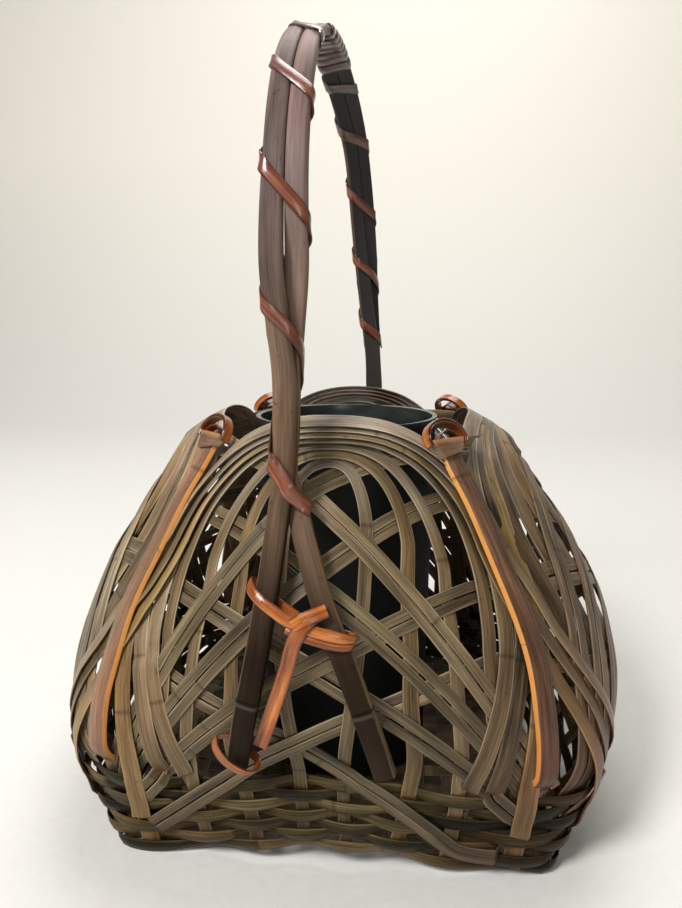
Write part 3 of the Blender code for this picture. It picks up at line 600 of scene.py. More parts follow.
# The same: streaks, patches and pores
RATTAN_GRAINS = ((30.0, 2.6, 4.0, 0.6), (40.0, 0.4, 2.0, 0.5), (300.0, 9.0, 2.0, 0.5))
NODE_APART = 0.21  # how far a strip's node rings lie apart


def tint_and_shade_body(n, colour, darkest, tint, place, grey, stain_and_shade, right):
    """Painted shade at the foot, redder strips, a purple-brown tone and painted shade to the right, painted shade
    to either side of the rows, and greyer heads.
    """
    whole, x, _, z = place
    # Painted shade: darker towards the foot, its edge broken up by noise.
    foot_shade_noise = n.noise(whole, 11.0, 3.0, 0.5)
    colour = n.mix(n.remap(n.plus(z, n.swing(foot_shade_noise, 0.10)), 0.0, 0.12, 0.45, 0.0), colour, dim(darkest, 0.55))
    colour = redden(n, colour, tint, whole)
    # To the right the strips turn purple-brown and darker: a purple-brown tone with painted shade.
    if right:
        colour = n.stain_and_shade(n.remap(x, 0.055, 0.125, 0.0, 0.75), colour, (0.80, 0.68, 0.70))
    # Painted shade on the rows: darker towards both sides.
    if stain_and_shade:
        colour = n.stain_and_shade(n.remap(x, 0.010, 0.080, 0.0, stain_and_shade), colour, (0.36, 0.34, 0.28))
        colour = n.stain_and_shade(n.remap(x, -0.045, -0.095, 0.0, stain_and_shade), colour, (0.62, 0.58, 0.46))
    if grey:
        colour = n.stain_and_shade(n.remap(z, 0.165, 0.205, 0.0, grey), colour, (1.38, 1.58, 2.22))
    return colour


def redden(n, colour, tint, whole):
    """Redder patches, which run over neighbouring strips."""
    aside = n.add("ShaderNodeVectorMath", [(0, whole), (1, (3.1, 0.4, 1.7))], operation="ADD")[0]
    hue = n.noise(aside, 9.0, 2.0, 0.5)
    red = n.times(n.remap(n.plus(hue, n.times(tint, 0.16)), 0.52, 0.74), 0.55)
    return n.stain_and_shade(red, colour, (1.12, 0.82, 0.80))


def tone_and_shade_handle(n, colour, along, across, tint, grain, z):
    """Browner lower down, dark legs whose smoked tone is deepened by painted shade, with a worn outer edge and a
    node ring, and painted shade on the inner faces.
    """
    colour = n.stain_and_shade(n.remap(z, 0.23, 0.35, 0.95, 0.0), colour, (0.96, 0.84, 0.56))
    # The legs darker: their smoked tone, deepened by painted shade lower down.
    colour = n.stain_and_shade(n.remap(z, 0.13, 0.235, 0.93, 0.0), colour, (0.060, 0.048, 0.037))
    outer = n.times(across, n.math("MULTIPLY_ADD", tint, -5.0, 2.0))
    worn = n.times(n.remap(outer, 0.76, 0.84), n.remap(grain, 0.75, 1.1, 0.25, 0.8))
    colour = n.mix(n.times(worn, n.remap(z, 0.24, 0.30, 1.0, 0.0)), colour, (0.150, 0.098, 0.050))
    for middle, shade in ((0.0360, (0.060, 0.046, 0.034)), (0.0381, (0.004, 0.003, 0.002))):
        away = n.math("ABSOLUTE", n.math("SUBTRACT", along, middle))
        colour = n.mix(n.remap(away, 0.0004, 0.0012, 0.8, 0.0), colour, shade)
    # Painted shade on the hollow backs of the halves, whose across is set to 1.6.
    return n.mix(n.remap(n.math("ABSOLUTE", across), 1.1, 1.35, 0.0, 0.80), colour, (0.030, 0.030, 0.034))


def bamboo(
    name, colours, edge_colour, places=(0.22, 0.45, 0.66, 0.90), rough=0.34, edge=0.5, bevel=False, plain=False,
    handle=False, ring=0.5, specular=0.22, coat=0.04, grain=1.0, grey=0.0, stain_and_shade=0.0,
):
    """Split bamboo: long fibres, smoky patches, a painted highlight of pale edges, side faces darkened as painted
    shade, and a node ring here and there; with bevel the edge takes its own colour instead.

    plain is for a CAD node, which has no coordinates along its strips.
    """
    n = Nodes(name)
    place = whole, x, y, z = n.place()
    if plain:
        along, across, tint = n.plus(x, y), n.times(z, 200.0), n.times(x, 3.0)
    else:
        along, across, tint = (n.attribute(key) for key in ("along", "across", "tint"))
    fibre, fine, patch, speck = n.grains(along, across, n.times(tint, 57.0), BAMBOO_GRAINS)
    both = n.plus(fibre, fine)
    value = n.math("MULTIPLY_ADD", patch, 0.75, n.times(tint, 0.30))
    value = n.plus(n.plus(value, n.swing(fibre, 0.75 * grain)), n.swing(fine, 0.45 * grain))
    colour = n.ramp(value, places, colours)
    if bevel:
        worn = n.times(n.remap(across, 0.83, 0.87), n.remap(both, 0.7, 0.9, 0.65, 1.0))
        colour = n.mix(worn, colour, edge_colour)
    elif not plain:
        reach = n.math("ABSOLUTE", across)
        # Painted highlight: the edges paler, broken up by the patches.
        rim = n.times(n.remap(reach, 0.80, 0.93, 0.0, edge), n.remap(patch, 0.3, 0.6))
        colour = n.mix(rim, colour, edge_colour)
        # Painted shade on the side faces.
        colour = n.mix(n.remap(reach, 0.975, 0.998, 0.0, 0.72), colour, dim(colours[0], 0.5))
    colour = n.mix(n.remap(speck, 0.66, 0.78, 0.0, 0.5), colour, dim(colours[0], 0.3))
    turn = n.math("FRACT", n.math("DIVIDE", n.plus(along, n.times(tint, 0.7)), NODE_APART))
    knot = n.remap(n.math("ABSOLUTE", n.math("SUBTRACT", turn, 0.5)), 0.0, 0.008, 1.0, 0.0)
    colour = n.mix(n.times(knot, ring), colour, dim(colours[0], 0.35))
    if handle:
        colour = tone_and_shade_handle(n, redden(n, colour, tint, whole), along, across, tint, both, z)
    else:
        colour = tint_and_shade_body(n, colour, colours[0], tint, place, grey, stain_and_shade, right=not plain)
    height = n.plus(n.times(fibre, 0.55), n.times(fine, 0.35))
    height = n.plus(height, n.times(knot, 0.6 * ring))
    rough_value = n.math("MULTIPLY_ADD", fibre, 0.34, rough - 0.17)
    return n.finish(colour, rough_value, height, 0.0004, specular, coat_weight=coat, coat_roughness=0.24)


def rattan(name, colours, places=(0.25, 0.50, 0.72, 0.92), rough=0.26, crown=None, edge_colour=None):
    """Split rattan: a glossy skin with fine pores and lengthwise streaks; crown holds its colours up there."""
    n = Nodes(name)
    along, across, tint = (n.attribute(key) for key in ("along", "across", "tint"))
    streak, patch, pores = n.grains(along, across, n.times(tint, 31.0), RATTAN_GRAINS)
    value = n.math("MULTIPLY_ADD", streak, 0.7, n.times(patch, 0.5))
    value = n.plus(value, n.times(n.math("SUBTRACT", tint, 0.6), 0.35))
    colour = n.ramp(value, places, colours)
    colour = n.mix(n.remap(pores, 0.62, 0.75, 0.0, 0.45), colour, dim(colours[0], 0.25))
    reach = n.math("ABSOLUTE", across)
    # Edges: the given colour, such as the wrap's orange cut side; without one, a dark edge painted as shade.
    colour = n.mix(n.remap(reach, 0.70, 0.95, 0.0, 0.70), colour, edge_colour or dim(colours[0], 0.6))
    if crown:
        colour = n.mix(n.remap(n.place()[3], 0.385, 0.405, 0.0, 0.85), colour, n.ramp(value, places, crown))
    rough_value = n.math("MULTIPLY_ADD", streak, 0.26, rough - 0.12)
    height = n.plus(n.times(streak, 0.7), n.times(pores, 0.3))
    return n.finish(colour, rough_value, height, 0.0003, 0.4, coat_weight=0.35, coat_roughness=0.14)


def lacquer(name):
    """Dark lacquer with a green tint, faint brush ripples and a worn, paler rim."""
    n = Nodes(name)
    whole, x, y, z = n.place()
    ripple = n.noise(n.vector(n.times(x, 30.0), n.times(y, 30.0), n.times(z, 90.0)))
    outside = n.remap(n.attribute("along"), 0.2600, 0.2640)
    colour = n.ramp(ripple, (0.3, 0.7), ((0.011, 0.014, 0.013), (0.036, 0.042, 0.037)))
    colour = n.mix(outside, colour, (0.004, 0.005, 0.004))
    rim = n.remap(n.plus(z, n.times(ripple, 0.0008)), 0.2214, 0.2222, 0.0, 0.75)
    colour = n.mix(rim, colour, (0.12, 0.115, 0.09))
    dust = n.noise(whole, 900.0, 2.0, 0.5)
    colour = n.mix(n.remap(dust, 0.66, 0.75, 0.0, 0.4), colour, (0.08, 0.08, 0.07))
    rough_value = n.plus(n.math("MULTIPLY_ADD", ripple, 0.25, 0.12), n.times(outside, 0.35))
    return n.finish(colour, rough_value, ripple, 0.0003, 0.3, coat_weight=0.03, coat_roughness=0.2)


SMOKED = bamboo(
    "smoked_bamboo",
    ((0.018, 0.011, 0.005), (0.100, 0.066, 0.030), (0.205, 0.142, 0.070), (0.380, 0.280, 0.160)),
    edge_colour=(0.48, 0.38, 0.24), grey=0.9,
)
TAN = bamboo(
    "tan_bamboo",
    ((0.036, 0.020, 0.007), (0.150, 0.092, 0.034), (0.275, 0.178, 0.070), (0.450, 0.320, 0.150)),
    edge_colour=(0.52, 0.38, 0.20), grey=0.8,
)
OLIVE = bamboo(
    "olive_bamboo",
    ((0.016, 0.010, 0.005), (0.092, 0.065, 0.032), (0.215, 0.158, 0.083), (0.420, 0.335, 0.205)),
    edge_colour=(0.50, 0.41, 0.27),
)
# The rows carry painted shade to both sides.
ROWS = bamboo(
    "row_bamboo",
    ((0.006, 0.004, 0.001), (0.038, 0.026, 0.008), (0.125, 0.092, 0.034), (0.380, 0.300, 0.160)),
    edge_colour=(0.30, 0.235, 0.13), rough=0.28, specular=0.10, coat=0.0, stain_and_shade=0.9,
)
DARK = bamboo(
    "dark_bamboo",
    ((0.034, 0.016, 0.009), (0.115, 0.060, 0.033), (0.215, 0.120, 0.068), (0.350, 0.220, 0.135)),
    edge_colour=(0.64, 0.285, 0.072), rough=0.32, bevel=True,
)
HANDLE = bamboo(
    "handle_bamboo",
    ((0.050, 0.035, 0.032), (0.132, 0.093, 0.083), (0.222, 0.160, 0.144), (0.350, 0.270, 0.244)),
    edge_colour=(0.26, 0.17, 0.11), rough=0.36, edge=0.4, ring=0.0, specular=0.06, coat=0.0, grain=0.6, handle=True,
)
WRAP = rattan(
    "wrap_rattan",
    ((0.030, 0.014, 0.007), (0.095, 0.050, 0.026), (0.190, 0.110, 0.060), (0.340, 0.210, 0.120)),
    edge_colour=(0.46, 0.19, 0.05),
)
WINDING = rattan(
    "winding_rattan",
    ((0.028, 0.007, 0.004), (0.120, 0.032, 0.016), (0.240, 0.080, 0.040), (0.410, 0.185, 0.110)),
    crown=((0.016, 0.011, 0.011), (0.060, 0.044, 0.042), (0.150, 0.120, 0.118), (0.340, 0.300, 0.290)),
    rough=0.20,
)
ORANGE = rattan(
    "orange_rattan",
    ((0.030, 0.005, 0.001), (0.140, 0.028, 0.004), (0.340, 0.088, 0.010), (0.620, 0.240, 0.050)),
    places=(0.30, 0.50, 0.68, 0.88), rough=0.20,
)
BASE = bamboo(
    "base_bamboo", ((0.03, 0.02, 0.012), (0.16, 0.115, 0.06)), edge_colour=None, places=(0.2, 0.8), plain=True
)
LACQUER = lacquer("lacquer")


# Body


def make_arches(routes):
    """The arched stakes of each side; the second and fifth of them are lighter."""
    for side, side_name in enumerate(SIDES):
        piece, light = Build(), Build()
        for route in routes:
            if route["kind"] != "arch" or route["owner"] != side:
                continue
            aside = np.abs(np.degrees(route["angle"]) - 90 * side)
            below = (1 - smooth_step(0.175, 0.205, route["height"])) * (1 - smooth_step(40, 50, aside))
            lay(
                light if route["order"] in (1, 4) else piece,
                route["angle"], route["height"], route["offset"],
                flat_section(ARCH_WIDTHS[route["order"]] * MM, STRIP),
                route["tint"], tilt=route["tilt"], scale=1 + FULLER[side] * below,
            )
        nodes = [f"{side_name}_arch_{k + 1}" for k in range(4)]
        piece.finish(f"{side_name}_arches", "basket", "smoked_bamboo", SMOKED, nodes)
        light.finish(f"{side_name}_light_arches", "basket", "smoked_bamboo", TAN, nodes[:1])


def make_diagonals(routes):
    """The diagonal pairs over each corner, each of two narrow strips side by side."""
    section = flat_section(4.9 * MM, STRIP)
    for corner, corner_name in enumerate(CORNER_NAMES):
        piece = Build()
        for route in routes:
            if route["kind"] != "diagonal" or route["owner"] != corner:
                continue
            count = len(route["angle"])
            back = smooth_step(-0.3, 0.7, -np.cos(route["angle"]))
            beside = smooth_step(-0.3, 0.3, -np.cos(2 * route["angle"]))
            scale = 1 + 0.45 * np.maximum(back, beside)
            apart = scale * (2.84 * MM + 0.14 * MM * np.sin(np.linspace(0, 9, count) + 6 * route["tint"]))
            for hand in (-1, 1):
                tint = (route["tint"] * 0.7 + 0.3 * rng.uniform()) % 1.0
                offset = route["offset"] + 0.08 * MM * np.sin(np.linspace(0, 14, count) + hand)
                lay(piece, route["angle"], route["height"], offset, section, tint, shift=hand * apart, scale=scale)
        nodes = [f"{corner_name}_diagonal_{k + 1}" for k in range(4)]
        piece.finish(f"{corner_name}_diagonals", "basket", "smoked_bamboo", OLIVE, nodes)


def make_rows():
    """The weaving rows: each passes in front of one stake and behind the next, its end tucked in."""
    section = flat_section(6.0 * MM, 1.0 * MM, crown=0.5 * MM, edge=0.35 * MM)
    for row in range(ROW_COUNT):
        piece = Build()
        first = math.pi + math.pi / STAKES * (2 * row + 1)
        angle = np.linspace(0, 2 * math.pi + 0.12, STAKES * 10 + 6) + first
        stake = angle / (2 * math.pi) * STAKES - 0.5
        bulge = np.cos(math.pi * (stake + row))
        before = np.maximum(bulge, 0.0)
        sink = smooth_step(12, 0, np.arange(len(angle))[::-1]) * 1.4 * MM
        height = ROW_LOW + row * ROW_PITCH + foot_lift(angle)
        height += 0.45 * MM * np.sin(3 * angle + row) + 0.4 * MM * np.sin(11 * angle + 2.3 * row)
        height += 0.55 * MM * before * math.cos(1.3 * row)
        tint = 0.5 + 0.5 * np.sin(np.floor((stake + 0.5 * row) / 5) * 2.4 + 1.7 * row)
        lay(piece, angle, height, 1.75 * MM * bulge - sink, section, tint, scale=1.05 + 0.24 * before)
        piece.finish(f"row_{row + 1}", "basket", "smoked_bamboo", ROWS, (f"weaving_row_{row + 1}",))


# Angles in degrees of the middle of each corner's splat, from the middle of the side before it, at these
# heights in millimetres
SPLAT_PLACES = (55.0, 66.0, 90.0, 113.0, 134.0, 158.0, 184.0, 200.0, 212.0, 225.5)
SPLAT_DEGREES = (
    (40.8, 40.8, 41.5, 42.6, 42.5, 42.3, 41.6, 40.5, 39.8, 39.3),
    (41.5, 41.6, 42.2, 42.6, 42.6, 42.2, 41.6, 41.2, 40.6, 40.0),
    (43.0, 43.0, 42.6, 42.2, 41.6, 41.0, 41.0, 41.4, 42.0, 42.4),
    (46.2, 46.2, 44.7, 43.8, 43.0, 42.2, 41.4, 41.6, 41.8, 41.9),
)
SPLAT_HALF, SPLAT_HALF_THICK, SPLAT_BEVEL = 6.3 * MM, 1.2 * MM, 0.9 * MM
HEAD_HEIGHT = 0.2100


def splat_angle(corner, height):
    """Angle of a splat's middle at a height."""
    degrees = smooth_value(SPLAT_PLACES, SPLAT_DEGREES[corner], height * 1000)
    return math.radians(degrees) + corner * QUARTER


def under_splat(routes, angle, height):
    """How far out the strips reach under a splat at one height."""
    here = bare_wall(angle, height)
    reach = 0.002
    for route in routes:
        close = np.linalg.norm(route["centres"] - here, axis=-1) < 0.0105 + route["width"] / 2
        if close.any():
            reach = max(reach, route["offset"][close].max())
    return reach


def splat_section(hand):
    """Section of a splat: nearly flat, with a pale bevel along the edge that faces the middle of the side."""
    w, t = SPLAT_HALF, SPLAT_HALF_THICK
    ring = [(-w, -t), (w, -t), (w, -t + 0.4 * MM), (w - SPLAT_BEVEL, t - 0.1 * MM), (0.3 * w, t + 0.4 * MM)]
    ring += [(-0.3 * w, t + 0.4 * MM), (-w + 0.5 * MM, t - 0.1 * MM), (-w, t - 0.6 * MM)]
    return np.array([(hand * x, y) for x, y in ring])


def make_splats(routes):
    """The wide dark splats over the corners; returns how far out the face of each head lies."""
    faces = []
    heights = np.linspace(0.0435, 0.2125, 62)
    foot = 1 - smooth_step(0.0510, 0.067, heights)
    for corner, corner_name in enumerate(CORNER_NAMES):
        angles = np.array([splat_angle(corner, h) for h in heights])
        reach = np.array([under_splat(routes, a, h) for a, h in zip(angles, heights)])
        for _ in range(40):
            reach = np.maximum(reach, running_mean(np.pad(reach, 4, mode="edge"), 9))
        for _ in range(3):
            reach = running_mean(np.pad(reach, 3, mode="edge"), 7)
        offset = (reach + 0.65 * MM + SPLAT_HALF_THICK) * (1 - foot) - 3.2 * MM * foot
        hand = 1 if corner % 2 == 0 else -1
        widths = 0.86 + 0.14 * smooth_step(0.055, 0.115, heights) + 0.02 * np.sin(heights * 60 + corner)
        centres, outs = wall_point(angles, heights, offset), wall_normal(angles, heights)
        piece = Build()
        sweep(piece, centres, outs, splat_section(hand), 0.2 + 0.2 * corner, scale=widths, hand=hand)
        piece.finish(f"{corner_name}_splat_strip", "basket", "dark_bamboo", DARK, (f"{corner_name}_splat",))
        faces.append(float(np.interp(HEAD_HEIGHT, heights, offset)) + 1.85 * MM)
    return faces


def wrap_layer(low, high, rise, layer, out):
    """Rows of points up one band of a wrap, in millimetres across, up and out: wider at its top."""
    across = np.linspace(-1, 1, 25)
    rows = []
    for share in np.linspace(0, 1, 12):
        up = -3.2 + 7.4 * share - 1.6 * layer * (1 - share) + (0.5 - 0.9 * share) * across**2
        up = up + 1.6 * layer * across * (1 - share)
        depth = out + rise - 3.4 * smooth_step(0.72, 1.0, np.abs(across)) - 0.5 * share
        rows.append(np.stack([(low + (high - low) * share**0.8) * across, up, depth], -1))
    return rows


def make_heads(faces):
    """The wrap over each splat's head and the loops that stand on it."""
    for corner, (corner_name, face) in enumerate(zip(CORNER_NAMES, faces)):
        angle, height = np.array(splat_angle(corner, HEAD_HEIGHT)), np.array(HEAD_HEIGHT)
        middle, normal = bare_wall(angle, height), wall_normal(angle, height)
        side = unit(np.cross(UP, normal))
        axes = np.stack([side, np.cross(normal, side), normal])
        out = face * 1000 + 0.7

        def place(points):
            return middle + np.asarray(points) * MM @ axes

        piece = Build()
        along = np.concatenate([np.linspace(0, 0.026, 25), np.linspace(0.026, 0, 25)])
        for layer, (low, high, rise) in enumerate(((8.0, 13.4, 0.0), (8.2, 13.9, 0.95))):
            front = np.array([place(row) for row in wrap_layer(low, high, rise, layer, out)])
            band = np.concatenate([front, (front - normal * 0.8 * MM)[:, ::-1]], 1)
            piece.add_turned(band, along, np.linspace(-0.4, 1.0, 12), 0.42 + 0.3 * layer)
        piece.finish(f"{corner_name}_wrap", "basket", "rattan", WRAP, (f"{corner_name}_head_wrap",))
        piece = Build()
        for half, rise, foot, tint in ((13.4, 10.6, 4.4, 0.85), (12.0, 9.3, 4.3, 0.45)):
            arc = [
                (-half * math.cos(t), foot + rise * math.sin(t), out - 2.4) for t in np.linspace(0, math.pi, 22)
            ]
            ends = [(hand * half * 0.97, foot - 3.0, out - 2.2) for hand in (-1, 1)]
            hoop(piece, place([ends[0], *arc, ends[1]]), -normal, 5.2, tint, crown=0.1, thick=0.9)
        tail = ((8.2, 4.0, -2.6), (5.2, 7.4, -2.2), (0.5, 8.6, -2.0), (-4.0, 6.8, -1.8), (-6.2, 4.2, -1.6))
        tail = [(x, y, out + z) for x, y, z in tail]
        hoop(piece, place(tail), -normal, 5.0, 0.25, crown=0.1, thick=0.9)
        piece.finish(f"{corner_name}_loop", "basket", "rattan", ORANGE, (f"{corner_name}_head_loop",))


def mat_points(x, y, lift):
    """Points of the base mat, which rises at mid side with the foot's edge, and their share of the way out."""
    floor = 0.0036
    angle = np.arctan2(x, -y)
    edge = wall_point(angle, np.full(x.shape, floor), np.full(x.shape, -4.9 * MM))
    share = np.hypot(x, y) / np.hypot(edge[..., 0], edge[..., 1])
    return np.stack([x, y, floor + foot_lift(angle) * smooth_step(0.5, 1.0, share) + lift], -1), share


def make_base():
    """The plaited mat of the base, and the look of the crossed slats under it."""
    piece = Build()
    section = flat_section(8.6 * MM, 0.75 * MM, crown=0.1 * MM, edge=0.2 * MM)
    pitch = 9.4 * MM
    reach = np.linspace(-0.125, 0.125, 120)
    for hand in (1, -1):
        for k in range(-13, 14):
            x, y = (np.full_like(reach, k * pitch), reach)[::hand]
            lift = 0.48 * MM * np.cos(math.pi * (reach / pitch + k)) * hand
            centres, share = mat_points(x, y, lift)
            inside = share < 1.0
            if inside.sum() >= 8:
                sweep(piece, centres[inside], UP, section, rng.uniform())
    piece.finish("plaited_mat", "basket", "smoked_bamboo", SMOKED, ("base_mat",))
    bpy.data.objects["base_cross"].material_slots[0].material = BASE


# Handle

ARCH_FOOT, ARCH_SPRING, ARCH_TOP = 0.205, 0.300, 0.4310
ARCH_REACH, ARCH_FLARE, ARCH_LEAN = 0.105, 0.011, 0.019
HALF_WIDE, HALF_THICK, HALF_CROWN, HALF_APART = 0.0104, 0.0042, 0.0012, 0.0013
WIDEN = 1.115
HALF_SHIFT = (HALF_WIDE + HALF_APART) / 2
HALF_STEP = HALF_THICK + HALF_CROWN + HALF_APART
LEG_FOOT, LEG_OFFSET = 0.077, 0.0102

# Along the arch, as shares of it: the lean to the side, at even places; the twist of the part behind,
# in degrees; and how much narrower the halves are
LEANS = (-0.95, -0.95, -1.0, -1.0, -0.98, -0.90, -0.68, -0.40, -0.04, 0.15, 0.34, 0.54, 0.65)
TWIST_PLACES = (0.0, 0.48, 0.54, 0.60, 0.66, 0.72, 0.78, 0.84, 0.90, 0.95, 1.0)
TWISTS = (0.0, 0.0, 14.0, 28.0, 40.0, 38.0, 34.0, 30.0, 16.0, 0.0, 0.0)
SLIM_PLACES = (0.0, 0.18, 0.25, 0.35, 0.42, 0.47, 0.50, 0.55, 0.62, 0.75, 0.85, 0.95, 1.0)
SLIMS = (1.0, 0.96, 0.90, 0.87, 0.81, 0.75, 0.73, 0.74, 0.76, 0.80, 0.86, 1.0, 1.0)

# Up a leg, as shares of its height: its angles on the wall in degrees, and how far it stands before the other
LEG_HEIGHTS = (0.0, 0.19, 0.40, 0.58, 0.72, 0.83)
OUTER_LEG = ((-15.9, -12.8, -10.3, -9.2, -8.6, -8.3), (0.0, 0.0, 0.0, 0.12, 0.55, 0.95))
INNER_LEG = ((12.8, 9.2, 4.8, 0.5, -2.4, -5.2), (0.0,) * 6)
ARCH_POINTS, HALF_STATIONS = 25, 300


def handle_centre(position):
    """Middle of the handle's arch, from above the front legs over the crown to above the back legs."""
    rise = ARCH_SPRING - ARCH_FOOT
    arc = math.pi * (ARCH_REACH + ARCH_TOP - ARCH_SPRING) / 2
    length = 2 * rise + arc
    run = position * length
    lean = ARCH_LEAN * smooth_value([i / 12 for i in range(13)], LEANS, position)
    from_foot = min(run, length - run)
    if from_foot < rise:
        flare = ARCH_FLARE * (1 - from_foot / rise) ** 2
        hand = -1 if run < length / 2 else 1
        return np.array([lean, hand * (ARCH_REACH + flare), ARCH_FOOT + from_foot])
    turn = (run - rise) / arc * math.pi
    height = ARCH_SPRING + (ARCH_TOP - ARCH_SPRING) * math.sin(turn)
    return np.array([lean, -ARCH_REACH * math.cos(turn), height])


def handle_frame(position):
    """Middle, direction out of the arch, and direction across it; the back part is twisted a little."""
    run = unit(handle_centre(min(position + 0.004, 1.0)) - handle_centre(max(position - 0.004, 0.0)))
    outward = unit(np.cross(np.array([1.0, 0.0, 0.0]), run))
    side = unit(np.cross(run, outward))
    turn = math.radians(smooth_value(TWIST_PLACES, TWISTS, position))
    cos, sin = math.cos(turn), math.sin(turn)
    return handle_centre(position), outward * cos - side * sin, side * cos + outward * sin


def pair_place(position):
    """How far the halves lie apart sideways, and how far the one is before the other."""
    end = min(position, 1 - position)
    front = 1 if position < 0.5 else -1
    shift = HALF_SHIFT * float(smooth_step(0.06, 0.19, end)) * smooth_value(SLIM_PLACES, SLIMS, position)
    return shift, front * HALF_STEP / 2 * (1 - float(smooth_step(0.17, 0.235, end)))


def leg_points(leg, turned):
    """Points and outward directions of one leg, from its foot up."""
    degrees, prouds = leg
    angle = np.radians(degrees) + (math.pi if turned else 0.0)
    height = LEG_FOOT + (ARCH_FOOT - LEG_FOOT) * np.array(LEG_HEIGHTS)
    offset = LEG_OFFSET + HALF_STEP * np.array(prouds)
    return np.concatenate([wall_point(angle, height, offset), wall_normal(angle, height)], -1)


def half_section():
    """Section of a handle half: a broad flat face with a bevel to each side, and a slightly hollow back."""
    w, t = HALF_WIDE / 2, HALF_THICK / 2
    face = [(w, -t + 0.6 * MM), (w, t * 0.45), (w - 0.25 * MM, t * 0.85)]
    face += [(w - 0.8 * MM, t + 0.42 * HALF_CROWN), (w - 1.9 * MM, t + 0.72 * HALF_CROWN)]
    back = [(-w + 0.5 * MM, -t), (0.0, -t + 0.3 * MM), (w - 0.5 * MM, -t)]
    return np.array(back + face + [(0.0, t + HALF_CROWN)] + [(-x, y) for x, y in face[::-1]])


def make_handle():
    """Both halves of the handle, each one piece from its front leg over the crown to its back leg."""
    section = half_section()
    halves = {}
    for name, hand in (("handle_half_left", -1), ("handle_half_right", 1)):
        first, last = (OUTER_LEG, INNER_LEG)[::-hand]
        middle = []
        for position in np.linspace(0, 1, ARCH_POINTS):
            shift, stacked = pair_place(position)
            centre, outward, across = handle_frame(position)
            middle.append(np.concatenate([centre + across * hand * shift - outward * hand * stacked, outward]))
        route = np.concatenate([leg_points(first, False), middle, leg_points(last, True)[::-1]])
        places = list(lengths(route[:, :3]))
        wanted = np.linspace(0, places[-1], HALF_STATIONS)
        fine = np.stack([smooth_values(places, list(column), wanted) for column in route.T], -1)
        centres, outs = fine[:, :3], unit(fine[:, 3:])
        node_places = (0.036 - 0.002 * hand, 0.205, 0.40, 0.60, wanted[-1] - 0.205, wanted[-1] - 0.037)
        swell = sum(np.exp(-(((wanted - at) / 0.0022) ** 2)) for at in node_places)
        arch = smooth_step(0.13, 0.17, wanted) * smooth_step(0.13, 0.17, wanted[::-1])
        legs = len(LEG_HEIGHTS)
        position = np.interp(wanted, places[legs : legs + ARCH_POINTS], np.linspace(0, 1, ARCH_POINTS))
        scale = 1 + (WIDEN - 1) * arch + 0.06 * swell + 0.012 * np.sin(wanted * 40 + hand)
        scale = scale * smooth_values(SLIM_PLACES, SLIMS, position)
        piece = Build()
        sweep(piece, centres, outs, section, 0.4 + 0.2 * hand, scale=scale, lift=1 + 0.07 * swell)
        # Marks the hollow backs, which the handle material paints with shade.
        inner = np.tile(section[:, 1] < -HALF_THICK * 0.4, HALF_STATIONS)
        piece.values[-1][inner, 1] = 1.6
        piece.finish(name + "_strip", "basket", "dark_bamboo", HANDLE, (name,))
        runs = unit(np.gradient(centres, axis=0))
        halves[hand] = centres, np.cross(runs, unit(np.cross(outs, runs)))
    return halves


# The winding's turns, and where on the arch each of them is
WINDING_PLACES = (0.02, 0.12, 0.252, 0.374, 0.456, 0.484, 0.517, 0.550, 0.587, 0.662, 0.754, 0.843, 0.905)
WINDING_TURNS = (0.0, 1.0, 2.3, 3.6, 4.55, 5.55, 8.05, 10.55, 11.55, 12.60, 13.75, 14.9, 15.7)

# Its start round the front legs, from the top down: which half, height, across it and out of it, in millimetres
LOWER_BAND = (
    (1, 256.5, 6.3, 0.5), (1, 249.0, 5.2, -2.8), (1, 242.0, 0.5, -3.4), (1, 231.0, -4.6, -3.0),
    (-1, 221.0, -6.4, -1.4), (-1, 214.8, -6.6, 1.0), (-1, 211.6, -5.0, 3.9), (-1, 207.4, -1.8, 4.4),
    (-1, 203.0, 1.6, 4.5), (-1, 199.6, 4.0, 4.6), (1, 192.6, 5.0, 4.6), (1, 190.2, 6.5, 1.8),
    (1, 190.8, 5.0, -2.6), (1, 195.0, 0.0, -3.4),
)


def pair_outline(position):
    """The outline that a strip drawn tight round both halves follows, from the middle of one edge round."""
    shift, stacked = pair_place(position)
    clear = 0.62 * MM
    wide = HALF_WIDE * WIDEN * smooth_value(SLIM_PLACES, SLIMS, position) / 2 + clear
    low, high = -HALF_THICK / 2 - clear, HALF_THICK / 2 + HALF_CROWN * 0.8 + clear
    corners = sorted(
        (hand * shift + x, -hand * stacked + y) for hand in (-1, 1) for x in (-wide, wide) for y in (low, high)
    )
    hull = []
    for row in (corners, corners[::-1]):
        part = []
        for point in row:
            while len(part) > 1 and turns_back(*part[-2:], point):
                part.pop()
            part.append(point)
        hull += part[:-1]
    ring = np.array(hull)
    ring = np.roll(ring, -int(np.argmax(ring[:, 0] + 1e-3 * ring[:, 1])), 0)
    start = (ring[0] + ring[-1]) / 2
    return np.concatenate([[start], ring, [start]])


def turns_back(one, two, three):
    """True where an outline through three points turns inwards or not at all."""
    return (two[0] - one[0]) * (three[1] - one[1]) <= (two[1] - one[1]) * (three[0] - one[0])


def winding_place(share):
    """A point of the winding's middle line, and the direction out of the handle there."""
    turns = share * WINDING_TURNS[-1]
    position = smooth_value(WINDING_TURNS, WINDING_PLACES, turns)
    ring = pair_outline(position)
    run = lengths(ring)
    place = (0.25 + turns) % 1.0 * run[-1]
    i = min(int(np.searchsorted(run, place, side="right")) - 1, len(ring) - 2)
    step = ring[i + 1] - ring[i]
    x, y = ring[i] + step * (place - run[i]) / (run[i + 1] - run[i])
    centre, out, side = handle_frame(position)
    return np.concatenate([centre + side * x + out * y, unit(side * step[1] - out * step[0])])


